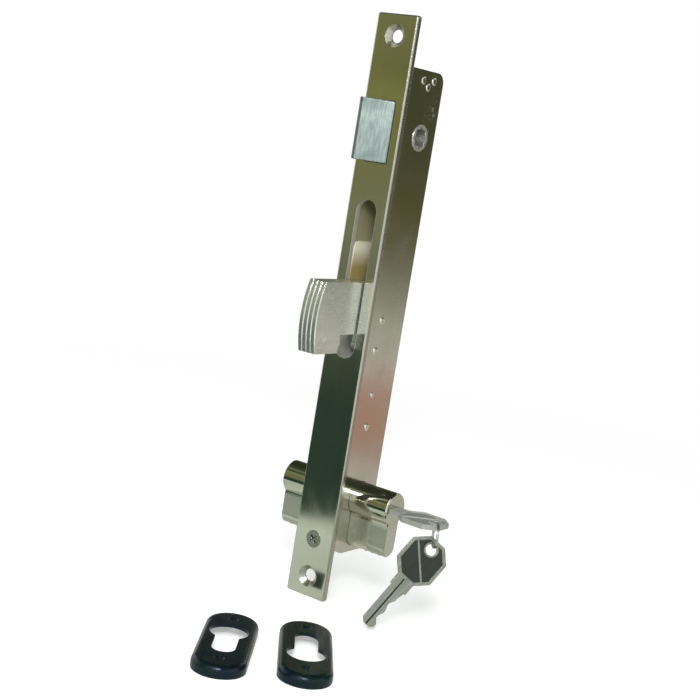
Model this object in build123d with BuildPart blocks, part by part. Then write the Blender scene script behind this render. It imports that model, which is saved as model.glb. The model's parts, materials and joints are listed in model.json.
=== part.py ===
from build123d import *
import math
import os

os.makedirs("parts", exist_ok=True)

# A narrow-stile mortice lock with its cylinder, keys and two escutcheons, in millimetres.
# X runs across the faceplate, Y runs back into the door, Z runs up along the lock.
# The origin is at the middle of the faceplate's back face, half way up, where the door's edge meets it.

# Faceplate
faceplate_width = 23.0
faceplate_length = 287.0
faceplate_thickness = 3.0
faceplate_corner_radius = 1.2
faceplate_edge_radius = 0.9
fixing_hole_inset = 10.3
fixing_hole_radius = 3.1
fixing_sink_radius = 5.4
sink_angle = 90

# Case, folded from sheet, with a flat cover on its right side
case_width = 17.0
case_back = 32.9
case_bottom = -121.0
case_top = 120.5
case_sheet = 1.2
case_rear_radius = 5.5
case_front_radius = 12.0
tab_length = 12.0
tab_depth = 2.0
tab_height_shares = (0.22, 0.74)

# Swing bolt, a pack of four plies that turns about a pin
pivot_back = 13.3
pivot_height = -2.0
pivot_radius = 3.0
ply_thickness = 2.5
bolt_tip_radius = 49.7
bolt_flush_gap = 0.1
bolt_back_gap = 0.4
hook_front = -15.8
hook_depth = 9.0
outer_boss_radius = 5.0
inner_boss_radius = 6.4
bolt_edge_cut = 0.35
bush_wall = 0.8
bolt_rivet_radius = 1.6
bolt_rivet_inset = 7.0
bolt_rivet_margin = 6.8
slot_side_gap = 0.8
slot_bottom_gap = 3.8
slot_top_gap = 8.6

# Drive between the cylinder's cam and the bolt's tail
quarter_turn = 90
slide_stroke = 17.0
slider_thickness = 2.3
slider_pin_radius = 1.8
tail_wall = 1.9
path_gap = 0.2
path_sway_share = 0.08
guide_pin_radius = 1.8
guide_pin_back = 15.1
guide_pin_heights = (-56.0, -39.5)
slider_wall = 1.3
slider_front_wall = 2.2
stop_pin_radius = 2.2
stop_pin_back = 11.7
stop_pin_height = -17.1
stop_gap = 0.2
heel_width = 3.3
heel_drop = 14.4

# Euro-profile cylinder
cylinder_back = 18.6
cylinder_height = -93.0
barrel_radius = 8.5
lug_width = 10.0
lug_drop = 24.5
right_half = 31.0
left_half = 34.0
cam_slot_half = 5.3
cam_slot_drop = 15.3
cam_radius = 15.0
cam_tip_radius = 2.2
cam_root_share = 1.15
cam_half = 4.2
plug_radius = 6.5
plug_rim_radius = 7.1
plug_rim_depth = 1.0
plug_end = 4.4
barrel_chamfer = 0.6
lug_flat_start = 21.0
lug_flat_depth = 0.35
cylinder_screw_drop = 21.0
cylinder_screw_radius = 2.5
screw_head_radius = 4.4
screw_point_past = 4.0
recess_width = 1.1
recess_length = 5.0
recess_depth = 1.8
clip_thickness = 0.7
clip_width = 1.6
clip_groove_depth = 0.7
clip_mouth = 5.0
coupler_length = 8.0
coupler_width = 3.2
coupler_depth = 3.6

# Pin tumblers
pin_count = 5
pin_radius = 1.45
pin_ends_length = 3.2
shoulder_to_pin = 0.7
last_pin_to_tip = 2.3
driver_length = 5.2
pin_chamfer = 0.5
spring_radius = 1.1
spring_wall = 0.35
chamber_cap_length = 2.2
left_driver_rise = 1.6

# Keys
key_thickness = 2.3
blade_width = 7.6
blade_spine = 2.1
blade_tip_cut = 2.0
neck_length = 5.5
neck_width = 9.4
bow_length = 24.0
bow_width = 21.0
bow_corner_cut = 6.0
bow_corner_radius = 1.0
bow_rim = 1.5
bow_recess = 0.35
bow_rib = 0.8
bow_rib_angle = 45
bow_hole_radius = 2.75
bow_hole_inset = 5.0
groove_width = 1.0
groove_depth = 0.55
groove_place = 0.6
bitting_depth = 2.4
bitting_flat = 1.6
bitting_shares = (0.35, 0.9, 0.55, 1.0, 0.2)

# Ring and the spare key that hangs from it
ring_inner_radius = 5.5
ring_wire_radius = 0.7
ring_yaw = 50
spare_tilt = 17
spare_tip_lift = 2.2
spare_tip_aside = 27.57
hole_side_gap = 0.5
hang_gap = 0.1

# Latch and its follower
latch_middle = 88.3
latch_width = 13.4
latch_height = 29.2
latch_reach = 10.5
latch_nose = 1.9
latch_root = 0.6
latch_edge_radius = 0.4
latch_opening_gap = 0.3
latch_shoulder = 2.0
latch_shoulder_length = 1.3
hub_back = 19.8
hub_journal_radius = 6.4
hub_disc_radius = 7.0
hub_disc_half = 5.0
hub_face_rise = 0.3
spindle_square = 8.1
arm_length = 15.0
arm_radius = 1.9
arm_half = 1.4
arm_angle = 20.5
tail_thickness = 3.0
tail_top_drop = 12.5
tail_bottom_drop = 19.3
tail_notch_half = 2.7
tail_end_length = 2.0
tail_tongue_top = 8.6
tail_tongue_length = 6.0
latch_pin_radius = 1.25
latch_pin_back = -1.6
latch_pin_rise = 3.4
latch_guide_thickness = 1.4
latch_guide_front = 5.0
spring_axis_rise = 10.6
latch_spring_radius = 2.1
latch_wire_radius = 0.3
latch_spring_turns = 9
latch_spring_bore = 2.7
latch_spring_bore_depth = 5.0
rod_radius = 1.0
rod_tip_back = 4.4
rod_hole_gap = 0.25
rod_hole_depth = 8.0
bracket_thickness = 1.2
bracket_height = 10.0
bracket_ear_length = 7.0
bracket_rivet_radius = 0.8
bracket_rivet_places = ((27.2, 102.9), (28.7, 100.2))

# Fixed pieces inside the case
liner_thickness = 1.8
liner_bottom = -27.5
liner_top = 34.5
liner_edge_radius = 3.0
pin_spigot_radius = 1.5
rivet_head_radius = 2.0
rivet_head_height = 0.5
top_rivet_radius = 1.3
top_rivet_places = ((15.0, 115.5), (24.3, 116.1), (19.8, 112.7))
spacer_margin = 3.0
detent_stud_back = 5.5
detent_stud_height = -31.5
detent_stud_radius = 1.4
detent_leaf_thickness = 0.45
detent_leaf_width = 2.6
detent_height = -48.5
detent_depth = 1.0
detent_leaf_end = -50.5

# Escutcheons
escutcheon_width = 24.0
escutcheon_length = 68.0
escutcheon_height = 5.5
escutcheon_skin = 1.5
escutcheon_dome = 2.8
escutcheon_gap = 0.25
escutcheon_screw_radius = 1.3
escutcheon_sink_radius = 2.3
escutcheon_screw_spread = 24.0
right_escutcheon_across = 51.0
right_escutcheon_forward = 69.6
right_escutcheon_angle = 217
left_escutcheon_across = 24.7
left_escutcheon_forward = 93.0
left_escutcheon_angle = 33

# Clearances and overrun
overrun = 1.0
running_gap = 0.05
fit_gap = 0.1
plate_gap = 0.3
profile_gap = 0.25

# Values that follow from the ones above
foot = -faceplate_length / 2
pivot_place = (pivot_back, pivot_height)
stop_pin_place = (stop_pin_back, stop_pin_height)
front = -faceplate_thickness
front_plane = Plane.XZ.offset(faceplate_thickness)
case_half = case_width / 2
inner_half = case_half - case_sheet
inner_back = case_back - case_sheet
case_length = case_top - case_bottom
bolt_half = 2 * ply_thickness
bolt_rise = inner_back - bolt_back_gap - pivot_back
bolt_drop = pivot_back - front - bolt_flush_gap
bolt_top = pivot_height + bolt_rise
bolt_bottom = pivot_height - bolt_drop
bush_radius = pivot_radius + bush_wall
slot_width = 2 * (bolt_half + slot_side_gap)
slot_top = pivot_height + bolt_tip_radius + slot_top_gap - slot_side_gap
slot_bottom = bolt_bottom - slot_bottom_gap
tail_offset = slide_stroke / 2
tail_reach = tail_offset * math.sqrt(2)
tail_slot_half = slider_pin_radius + path_sway_share * tail_offset + path_gap
tail_pin_back = pivot_back + tail_offset
tail_pin_height = pivot_height + tail_offset
slider_left = ply_thickness + plate_gap
slider_right = slider_left + slider_thickness
cam_reach = cam_radius - cam_tip_radius
cam_place = (-cam_reach / math.sqrt(2), cam_reach / math.sqrt(2))
cam_notch_half = cam_tip_radius + 2 * (cam_reach / math.sqrt(2) - tail_offset) + plate_gap
block_back = cylinder_back - barrel_radius - plate_gap / 2
block_middle = cylinder_height + tail_offset
lug_radius = lug_width / 2
lug_bottom = cylinder_height - lug_drop
pin_pitch = (right_half - plug_end - pin_ends_length) / (pin_count + 1)
first_pin = pin_pitch + shoulder_to_pin
blade_length = first_pin + (pin_count - 1) * pin_pitch + last_pin_to_tip
pin_end_reach = math.sqrt(plug_radius**2 - pin_radius**2)
cylinder_screw_height = cylinder_height - cylinder_screw_drop
blade_bit_side = blade_width - blade_spine
key_shoulder_to_end = neck_length + bow_length
bow_hole_place = key_shoulder_to_end - bow_hole_inset
latch_bottom = latch_middle - latch_height / 2
latch_rear = plate_gap + latch_shoulder_length
spring_axis_height = latch_middle + spring_axis_rise
spring_back = inner_back - bracket_thickness
arm_sway = arm_length * math.sin(math.radians(arm_angle))
arm_drop = arm_length * math.cos(math.radians(arm_angle))
tail_notch_back = hub_back - arm_sway
tail_end = tail_notch_back + tail_notch_half + tail_end_length


def rod_along_x(place, radius, start, end, mode=Mode.ADD):
    with BuildSketch(Plane.YZ.offset(start)) as disc:
        with Locations(place):
            Circle(radius)
    extrude(to_extrude=disc.sketch, amount=end - start, mode=mode)


def plate_along_x(outline, start, end, mode=Mode.ADD):
    lifted = Plane.YZ.offset(start).location * outline
    extrude(to_extrude=lifted, amount=end - start, mode=mode)


def shoulder_pin(place, body_radius, spigot_radius, head_radius):
    # A pin whose thinner ends pass through the case walls and are riveted over
    with BuildPart() as pin:
        rod_along_x(place, body_radius, -inner_half, inner_half)
        rod_along_x(place, spigot_radius, -case_half, case_half)
        for side in (-1, 1):
            rod_along_x(place, head_radius, side * case_half, side * (case_half + rivet_head_height))
            head_edge = pin.edges().filter_by(GeomType.CIRCLE).sort_by(Axis.X)[-1 if side > 0 else 0]
            fillet(head_edge, rivet_head_height / 2)
    return pin


def euro_profile(gap):
    # The round barrel and the lug below it, centred on the barrel's axis
    with BuildSketch() as profile:
        Circle(barrel_radius + gap)
        with Locations((0, (lug_radius - lug_drop) / 2)):
            Rectangle(lug_width + 2 * gap, lug_drop - lug_radius)
        with Locations((0, lug_radius - lug_drop)):
            Circle(lug_radius + gap)
    return profile.sketch


def case_profile(inset):
    # Side outline of the case, open towards the faceplate, set in by the sheet where asked
    length = case_top - case_bottom - 2 * inset
    depth = case_back - inset
    with BuildSketch() as profile:
        with Locations((0, case_bottom + inset)):
            Rectangle(depth, length, align=(Align.MIN, Align.MIN))
        rear_corners = profile.vertices().group_by(Axis.X)[-1]
        fillet(rear_corners, case_rear_radius - inset)
        front_corner = profile.vertices().group_by(Axis.X)[0].sort_by(Axis.Y)[0]
        fillet(front_corner, case_front_radius)
    return profile.sketch


def case_openings(start, end, mode=Mode.SUBTRACT):
    # What passes through each side wall: the cylinder, the follower, the pins and the rivets
    barrel_place = Location((cylinder_back, cylinder_height))
    plate_along_x(barrel_place * euro_profile(profile_gap), start, end, mode)
    rod_along_x((hub_back, latch_middle), hub_journal_radius + running_gap, start, end, mode)
    riveted = [pivot_place, stop_pin_place]
    riveted += [(guide_pin_back, height) for height in guide_pin_heights]
    for place in riveted:
        rod_along_x(place, pin_spigot_radius, start, end, mode)
    for place in top_rivet_places:
        rod_along_x(place, top_rivet_radius, start, end, mode)


def wall_tabs(start):
    # Tabs of a side wall that sit in slots in the back of the faceplate
    for share in tab_height_shares:
        height = case_bottom + share * case_length
        with BuildSketch(Plane.YZ.offset(start)) as tab:
            with Locations((0, height)):
                Rectangle(tab_depth, tab_length, align=(Align.MAX, Align.CENTER))
        extrude(to_extrude=tab.sketch, amount=case_sheet)


# Faceplate with its slot, latch opening and screw holes
with BuildPart() as faceplate:
    with BuildSketch(front_plane):
        RectangleRounded(faceplate_width, faceplate_length, faceplate_corner_radius)
    extrude(amount=-faceplate_thickness)
    front_edges = faceplate.faces().sort_by(Axis.Y)[0].edges()
    fillet(front_edges, faceplate_edge_radius)
    with BuildSketch(front_plane):
        with Locations((0, (slot_top + slot_bottom) / 2)):
            SlotOverall(slot_top - slot_bottom, slot_width, rotation=90)
        with Locations((0, latch_middle)):
            Rectangle(latch_width + 2 * latch_opening_gap, latch_height + 2 * latch_opening_gap)
    extrude(amount=-faceplate_thickness, mode=Mode.SUBTRACT)
    with Locations(front_plane):
        with Locations((0, foot + fixing_hole_inset), (0, -foot - fixing_hole_inset)):
            CounterSinkHole(fixing_hole_radius, fixing_sink_radius, faceplate_thickness, sink_angle)
        with Locations((0, cylinder_screw_height)):
            screw_hole_radius = cylinder_screw_radius + fit_gap
            CounterSinkHole(screw_hole_radius, screw_head_radius, faceplate_thickness, sink_angle)
    for side in (-1, 1):
        slot_middle = side * (inner_half + case_sheet / 2)
        for share in tab_height_shares:
            with BuildSketch(Plane.XZ):
                with Locations((slot_middle, case_bottom + share * case_length)):
                    Rectangle(case_sheet, tab_length)
            extrude(amount=tab_depth, mode=Mode.SUBTRACT)
faceplate.part.label = "faceplate"
export_step(faceplate.part, "parts/faceplate.step")

# Case tray: the left wall and the rim, folded from one sheet
with BuildPart() as case_tray:
    plate_along_x(case_profile(0), -case_half, inner_half)
    plate_along_x(case_profile(case_sheet), -inner_half, inner_half, Mode.SUBTRACT)
    wall_tabs(-case_half)
    case_openings(-case_half - overrun, -inner_half + overrun)
    with BuildSketch(Plane.XZ):
        with Locations((0, cylinder_screw_height)):
            Circle(cylinder_screw_radius + profile_gap)
    extrude(amount=-case_front_radius, mode=Mode.SUBTRACT)
case_tray.part.label = "case_tray"
export_step(case_tray.part, "parts/case_tray.step")

# Case cover: the flat right wall
with BuildPart() as case_cover:
    plate_along_x(case_profile(0), inner_half, case_half)
    wall_tabs(inner_half)
    case_openings(inner_half - overrun, case_half + overrun)
    for place in bracket_rivet_places:
        rod_along_x(place, bracket_rivet_radius, inner_half - overrun, case_half + overrun, Mode.SUBTRACT)
case_cover.part.label = "case_cover"
export_step(case_cover.part, "parts/case_cover.step")

# Spacer block that holds the two walls apart at the top
spacer_front = top_rivet_places[0][0] - spacer_margin
spacer_rear = top_rivet_places[1][0] + spacer_margin
spacer_low = top_rivet_places[2][1] - spacer_margin
spacer_high = case_top - case_sheet
with BuildPart() as top_spacer:
    with BuildSketch(Plane.YZ.offset(-inner_half)):
        with Locations((spacer_front, spacer_low)):
            Rectangle(spacer_rear - spacer_front, spacer_high - spacer_low, align=(Align.MIN, Align.MIN))
    extrude(amount=2 * inner_half)
    for place in top_rivet_places:
        rod_along_x(place, top_rivet_radius, -inner_half, inner_half, Mode.SUBTRACT)
top_spacer.part.label = "top_spacer"
export_step(top_spacer.part, "parts/top_spacer.step")

with BuildPart() as top_rivets:
    for place in top_rivet_places:
        rod_along_x(place, top_rivet_radius, -case_half, case_half)
        for side in (-1, 1):
            rod_along_x(place, rivet_head_radius, side * case_half, side * (case_half + rivet_head_height))
    outer_rims = top_rivets.edges().filter_by(GeomType.CIRCLE).group_by(Axis.X)
    fillet(outer_rims[0] + outer_rims[-1], rivet_head_height / 2)
top_rivets.part.label = "top_rivets"
export_step(top_rivets.part, "parts/top_rivets.step")


def bolt_liner(start, end):
    # A smooth plate against a side wall, beside the swinging bolt
    with BuildPart() as liner:
        with BuildSketch(Plane.YZ.offset(start)):
            with Locations((0, liner_bottom)):
                Rectangle(inner_back, liner_top - liner_bottom, align=(Align.MIN, Align.MIN))
        extrude(amount=end - start)
        corner_edges = liner.edges().filter_by(Axis.X)
        fillet(corner_edges, liner_edge_radius)
        rod_along_x(pivot_place, pivot_radius + running_gap, start, end, Mode.SUBTRACT)
        rod_along_x(stop_pin_place, stop_pin_radius + running_gap, start, end, Mode.SUBTRACT)
    return liner


left_liner = bolt_liner(-inner_half, -inner_half + liner_thickness)
left_liner.part.label = "left_liner"
export_step(left_liner.part, "parts/left_liner.step")

right_liner = bolt_liner(inner_half - liner_thickness, inner_half)
right_liner.part.label = "right_liner"
export_step(right_liner.part, "parts/right_liner.step")

# Pins that are riveted across the case
bolt_pivot_pin = shoulder_pin(pivot_place, pivot_radius, pin_spigot_radius, rivet_head_radius)
bolt_pivot_pin.part.label = "bolt_pivot_pin"
export_step(bolt_pivot_pin.part, "parts/bolt_pivot_pin.step")

bolt_stop_pin = shoulder_pin(stop_pin_place, stop_pin_radius, pin_spigot_radius, rivet_head_radius)
bolt_stop_pin.part.label = "bolt_stop_pin"
export_step(bolt_stop_pin.part, "parts/bolt_stop_pin.step")

lower_guide_place = (guide_pin_back, guide_pin_heights[0])
lower_guide_pin = shoulder_pin(lower_guide_place, guide_pin_radius, pin_spigot_radius, rivet_head_radius)
lower_guide_pin.part.label = "lower_guide_pin"
export_step(lower_guide_pin.part, "parts/lower_guide_pin.step")

upper_guide_place = (guide_pin_back, guide_pin_heights[1])
upper_guide_pin = shoulder_pin(upper_guide_place, guide_pin_radius, pin_spigot_radius, pin_spigot_radius)
upper_guide_pin.part.label = "upper_guide_pin"
export_step(upper_guide_pin.part, "parts/upper_guide_pin.step")


def on_circle(radius, degrees):
    turn = math.radians(degrees)
    return (pivot_back + radius * math.cos(turn), pivot_height + radius * math.sin(turn))


def bolt_body(back_edge):
    # Side outline of the bolt in front of its pivot: an arc about the pivot, and a hook below
    top_front = pivot_back - math.sqrt(bolt_tip_radius**2 - bolt_rise**2)
    low_front = pivot_back - math.sqrt(bolt_tip_radius**2 - bolt_drop**2)
    hook_top = bolt_bottom + hook_depth
    with BuildSketch() as body:
        with BuildLine():
            ThreePointArc((top_front, bolt_top), on_circle(bolt_tip_radius, 180), (low_front, bolt_bottom))
            Polyline(
                (low_front, bolt_bottom),
                (hook_front, bolt_bottom),
                (hook_front, hook_top),
                (back_edge, hook_top),
                (back_edge, bolt_top),
                (top_front, bolt_top),
            )
        make_face()
    return body.sketch


def bolt_ply(layer, inner):
    # One ply, counted from the left; the two inner plies carry the tail and the heel
    start = -bolt_half + layer * ply_thickness
    boss_radius = inner_boss_radius if inner else outer_boss_radius
    rivet_places = bolt_rivet_points()
    with BuildPart() as ply:
        plate_along_x(bolt_body(pivot_back), start, start + ply_thickness)
        rod_along_x(pivot_place, boss_radius, start, start + ply_thickness)
        if inner:
            with BuildSketch(Plane.YZ.offset(start)):
                with BuildSketch(mode=Mode.PRIVATE) as tail:
                    with Locations(pivot_place, on_circle(tail_reach, 45)):
                        Circle(tail_slot_half + tail_wall)
                    make_hull()
                add(tail.sketch)
                with Locations((stop_pin_back - stop_pin_radius - stop_gap - heel_width / 2, pivot_height)):
                    Rectangle(heel_width, heel_drop, align=(Align.CENTER, Align.MAX))
            extrude(amount=ply_thickness)
            with BuildSketch(Plane.YZ.offset(start)):
                with BuildSketch(mode=Mode.PRIVATE) as pin_path:
                    with Locations(on_circle(tail_offset, 45), on_circle(tail_reach, 45)):
                        Circle(tail_slot_half)
                    make_hull()
                add(pin_path.sketch)
            extrude(amount=ply_thickness, mode=Mode.SUBTRACT)
        rod_along_x(pivot_place, bush_radius, start, start + ply_thickness, Mode.SUBTRACT)
        for place in rivet_places:
            rod_along_x(place, bolt_rivet_radius, start, start + ply_thickness, Mode.SUBTRACT)
        tip_edges = ply.edges().filter_by(GeomType.CIRCLE).filter_by(lambda edge: edge.radius > bolt_rise)
        chamfer(tip_edges, bolt_edge_cut)
    return ply


def bolt_rivet_points():
    back = pivot_back - bolt_tip_radius + bolt_rivet_inset + bolt_rivet_radius
    return ((back, bolt_top - bolt_rivet_margin), (back, bolt_bottom + bolt_rivet_margin))


bolt_left_ply = bolt_ply(0, inner=False)
bolt_left_ply.part.label = "bolt_left_ply"
export_step(bolt_left_ply.part, "parts/bolt_left_ply.step")

bolt_inner_left_ply = bolt_ply(1, inner=True)
bolt_inner_left_ply.part.label = "bolt_inner_left_ply"
export_step(bolt_inner_left_ply.part, "parts/bolt_inner_left_ply.step")

bolt_inner_right_ply = bolt_ply(2, inner=True)
bolt_inner_right_ply.part.label = "bolt_inner_right_ply"
export_step(bolt_inner_right_ply.part, "parts/bolt_inner_right_ply.step")

bolt_right_ply = bolt_ply(3, inner=False)
bolt_right_ply.part.label = "bolt_right_ply"
export_step(bolt_right_ply.part, "parts/bolt_right_ply.step")

with BuildPart() as bolt_rivets:
    for place in bolt_rivet_points():
        rod_along_x(place, bolt_rivet_radius, -bolt_half, bolt_half)
bolt_rivets.part.label = "bolt_rivets"
export_step(bolt_rivets.part, "parts/bolt_rivets.step")

with BuildPart() as bolt_bush:
    rod_along_x(pivot_place, bush_radius, -bolt_half, bolt_half)
    rod_along_x(pivot_place, pivot_radius + running_gap, -bolt_half, bolt_half, Mode.SUBTRACT)
bolt_bush.part.label = "bolt_bush"
export_step(bolt_bush.part, "parts/bolt_bush.step")

# Drive slider: a block that the cam moves, a guided bar, and an eye for the bolt's tail pin
block_front = plate_gap + slider_wall
block_half = cam_notch_half + slider_wall + slider_pin_radius
neck_back = block_back
neck_top = block_middle + block_half + tail_offset
bar_front = guide_pin_back - guide_pin_radius - fit_gap - slider_front_wall
bar_back = guide_pin_back + guide_pin_radius + fit_gap + 2 * slider_wall
guide_low = guide_pin_heights[0]
guide_high = guide_pin_heights[1] + slide_stroke
bar_top = guide_high + guide_pin_radius + fit_gap + slider_wall
eye_front = pivot_back + outer_boss_radius + plate_gap
eye_top = tail_pin_height + slider_pin_radius + slider_wall
eye_back = tail_pin_back + slider_pin_radius + slider_wall
shift_top = pivot_height - outer_boss_radius - plate_gap - slider_wall
bar_step = stop_pin_back + stop_pin_radius + plate_gap
with BuildPart() as drive_slider:
    with BuildSketch(Plane.YZ.offset(slider_left)):
        with BuildLine():
            Polyline(
                (block_front, block_middle - block_half),
                (neck_back, block_middle - block_half),
                (neck_back, neck_top),
                (bar_back, neck_top + tail_offset),
                (bar_back, shift_top - tail_offset / 2),
                (eye_back, shift_top),
                (eye_back, eye_top),
                (eye_front, eye_top),
                (eye_front, shift_top),
                (bar_step, shift_top - slider_wall),
                (bar_step, bar_top),
                (bar_front, bar_top - slider_wall),
                (bar_front, neck_top + tail_offset),
                (block_front, neck_top),
                close=True,
            )
        make_face()
    extrude(amount=slider_thickness)
    with BuildSketch(Plane.YZ.offset(-cam_half)):
        with Locations((block_front, block_middle)):
            Rectangle(block_back - block_front, 2 * block_half, align=(Align.MIN, Align.CENTER))
    extrude(amount=slider_right + cam_half)
    notch_front = cylinder_back - cam_radius - plate_gap
    with BuildSketch(Plane.YZ.offset(-cam_half - overrun)):
        with Locations((notch_front, block_middle)):
            Rectangle(block_back - notch_front + overrun, 2 * cam_notch_half, align=(Align.MIN, Align.CENTER))
    extrude(amount=slider_right + cam_half + 2 * overrun, mode=Mode.SUBTRACT)
    with BuildSketch(Plane.YZ.offset(slider_left)):
        with Locations((guide_pin_back, (guide_low + guide_high) / 2)):
            SlotCenterToCenter(guide_high - guide_low, 2 * (guide_pin_radius + fit_gap), rotation=90)
        for height in (detent_height, detent_height + slide_stroke):
            with Locations((bar_front, height)):
                Rectangle(math.sqrt(2) * detent_depth, math.sqrt(2) * detent_depth, rotation=45)
    extrude(amount=slider_thickness, mode=Mode.SUBTRACT)
    slider_pin_hole = slider_pin_radius + running_gap
    rod_along_x((tail_pin_back, tail_pin_height), slider_pin_hole, slider_left, slider_right, Mode.SUBTRACT)
drive_slider.part.label = "drive_slider"
export_step(drive_slider.part, "parts/drive_slider.step")

with BuildPart() as slider_pin:
    rod_along_x((tail_pin_back, tail_pin_height), slider_pin_radius, -ply_thickness, slider_right)
slider_pin.part.label = "slider_pin"
export_step(slider_pin.part, "parts/slider_pin.step")

# Detent: a leaf hooked on a stud, with a bump that drops into the slider's notches
detent_right = slider_left + detent_leaf_width
with BuildPart() as detent_stud:
    rod_along_x((detent_stud_back, detent_stud_height), detent_stud_radius, -inner_half, detent_right)
detent_stud.part.label = "detent_stud"
export_step(detent_stud.part, "parts/detent_stud.step")

leaf_half = detent_leaf_thickness / 2
bump_tip = bar_front + detent_depth - plate_gap - leaf_half
bump_foot = bump_tip - 2 * detent_depth
eye_radius = detent_stud_radius + running_gap + leaf_half
with BuildPart() as detent_spring:
    with BuildSketch(Plane.YZ.offset(slider_left)):
        with BuildLine() as leaf_line:
            JernArc((detent_stud_back - eye_radius, detent_stud_height), (0, 1), eye_radius, -270)
            turn_end = leaf_line.vertices().sort_by(Axis.Y)[0]
            Polyline(
                turn_end,
                (bump_foot, detent_height + 2 * detent_depth),
                (bump_tip, detent_height),
                (bump_foot, detent_leaf_end),
            )
        trace(line_width=detent_leaf_thickness)
    extrude(amount=detent_leaf_width)
detent_spring.part.label = "detent_spring"
export_step(detent_spring.part, "parts/detent_spring.step")

# Cylinder body, with the slot in which the cam turns
pin_places = [right_half - first_pin - number * pin_pitch for number in range(pin_count)]
left_pin_places = [first_pin + number * pin_pitch - left_half for number in range(pin_count)]
barrel_place = Location((cylinder_back, cylinder_height))
with BuildPart() as cylinder_body:
    plate_along_x(barrel_place * euro_profile(0), -left_half, right_half)
    end_rims = cylinder_body.edges().filter_by(GeomType.CIRCLE).group_by(Axis.X)
    chamfer(end_rims[0] + end_rims[-1], barrel_chamfer)
    for start, end in ((-left_half, -lug_flat_start), (lug_flat_start, right_half)):
        with BuildSketch(Plane.YZ.offset(start)):
            for side in (-1, 1):
                with Locations((cylinder_back + side * lug_radius, lug_bottom + lug_radius)):
                    flat_height = lug_drop - lug_radius - barrel_radius
                    cut_height = flat_height + barrel_chamfer
                    Rectangle(2 * lug_flat_depth, cut_height, align=(Align.CENTER, Align.MIN))
        extrude(amount=end - start, mode=Mode.SUBTRACT)
    with BuildSketch(Plane.YZ.offset(-cam_slot_half)):
        with Locations((cylinder_back, cylinder_height - cam_slot_drop)):
            slot_height = cam_slot_drop + barrel_radius + overrun
            Rectangle(2 * barrel_radius + 2 * overrun, slot_height, align=(Align.CENTER, Align.MIN))
    extrude(amount=2 * cam_slot_half, mode=Mode.SUBTRACT)
    bore_radius = plug_radius + running_gap
    rim_bore_radius = plug_rim_radius + running_gap
    axis_place = (cylinder_back, cylinder_height)
    rod_along_x(axis_place, bore_radius, -left_half - overrun, right_half + overrun, Mode.SUBTRACT)
    rod_along_x(axis_place, rim_bore_radius, -left_half, plug_rim_depth - left_half, Mode.SUBTRACT)
    rod_along_x(axis_place, rim_bore_radius, right_half - plug_rim_depth, right_half, Mode.SUBTRACT)
    with BuildSketch(Plane.XY.offset(lug_bottom - overrun)):
        with Locations(*[(across, cylinder_back) for across in pin_places + left_pin_places]):
            Circle(pin_radius + fit_gap)
    extrude(amount=lug_drop - barrel_radius + plug_radius / 2 + overrun, mode=Mode.SUBTRACT)
    with BuildSketch(Plane.XZ.offset(lug_radius - cylinder_back + overrun)):
        with Locations((0, cylinder_screw_height)):
            Circle(cylinder_screw_radius + running_gap)
    extrude(amount=-lug_width - 2 * overrun, mode=Mode.SUBTRACT)
cylinder_body.part.label = "cylinder_body"
export_step(cylinder_body.part, "parts/cylinder_body.step")

# Screw that holds the cylinder through the faceplate
screw_end = cylinder_back + screw_point_past
with BuildPart() as cylinder_screw:
    with BuildSketch(Plane.XY.offset(cylinder_screw_height)):
        with BuildLine():
            Polyline(
                (0, front),
                (screw_head_radius, front),
                (cylinder_screw_radius, front + screw_head_radius - cylinder_screw_radius),
                (cylinder_screw_radius, screw_end - cylinder_screw_radius / 2),
                (cylinder_screw_radius / 2, screw_end),
                (0, screw_end),
                close=True,
            )
        make_face()
    revolve(axis=Axis((0, 0, cylinder_screw_height), (0, 1, 0)))
    with BuildSketch(front_plane):
        with Locations((0, cylinder_screw_height)):
            for turn in (45, 135):
                Rectangle(recess_length, recess_width, rotation=turn)
    extrude(amount=-recess_depth, mode=Mode.SUBTRACT)
cylinder_screw.part.label = "cylinder_screw"
export_step(cylinder_screw.part, "parts/cylinder_screw.step")


def plug(face, side):
    # A plug that runs from its rim at the barrel's face to its clip groove at the cam
    axis_place = (cylinder_back, cylinder_height)
    inner_end = side * plug_end
    rim_inner = face - side * plug_rim_depth
    groove = sorted((side * (plug_end + plate_gap / 2), side * (plug_end + plate_gap / 2 + clip_thickness)))
    with BuildPart() as turned_plug:
        rod_along_x(axis_place, plug_radius, inner_end, face)
        rod_along_x(axis_place, plug_rim_radius, rim_inner, face)
        with BuildSketch(Plane.YZ.offset(groove[0])) as ring:
            with Locations(axis_place):
                Circle(plug_radius + overrun)
                Circle(plug_radius - clip_groove_depth, mode=Mode.SUBTRACT)
        extrude(to_extrude=ring.sketch, amount=clip_thickness, mode=Mode.SUBTRACT)
    return turned_plug


def keyway(direction):
    # Cross-section of the keyway about the plug's axis, open towards the given direction
    length = plug_radius + overrun + blade_spine + fit_gap
    middle = (plug_radius + overrun - blade_spine - fit_gap) / 2
    with BuildSketch() as slot:
        with Locations((middle, 0)):
            Rectangle(length, key_thickness + 2 * fit_gap)
    return Location((cylinder_back, cylinder_height), (0, 0, direction)) * slot.sketch


plug_right = plug(right_half, 1)
with plug_right:
    plate_along_x(keyway(180), plug_end, right_half, Mode.SUBTRACT)
    with BuildSketch(Plane.XZ.offset(-cylinder_back)) as chambers:
        with Locations(*[(across, cylinder_height) for across in pin_places]):
            Circle(pin_radius + fit_gap)
    extrude(to_extrude=chambers.sketch, amount=plug_rim_radius + overrun, mode=Mode.SUBTRACT)
plug_right.part.label = "plug_right"
export_step(plug_right.part, "parts/plug_right.step")

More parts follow.
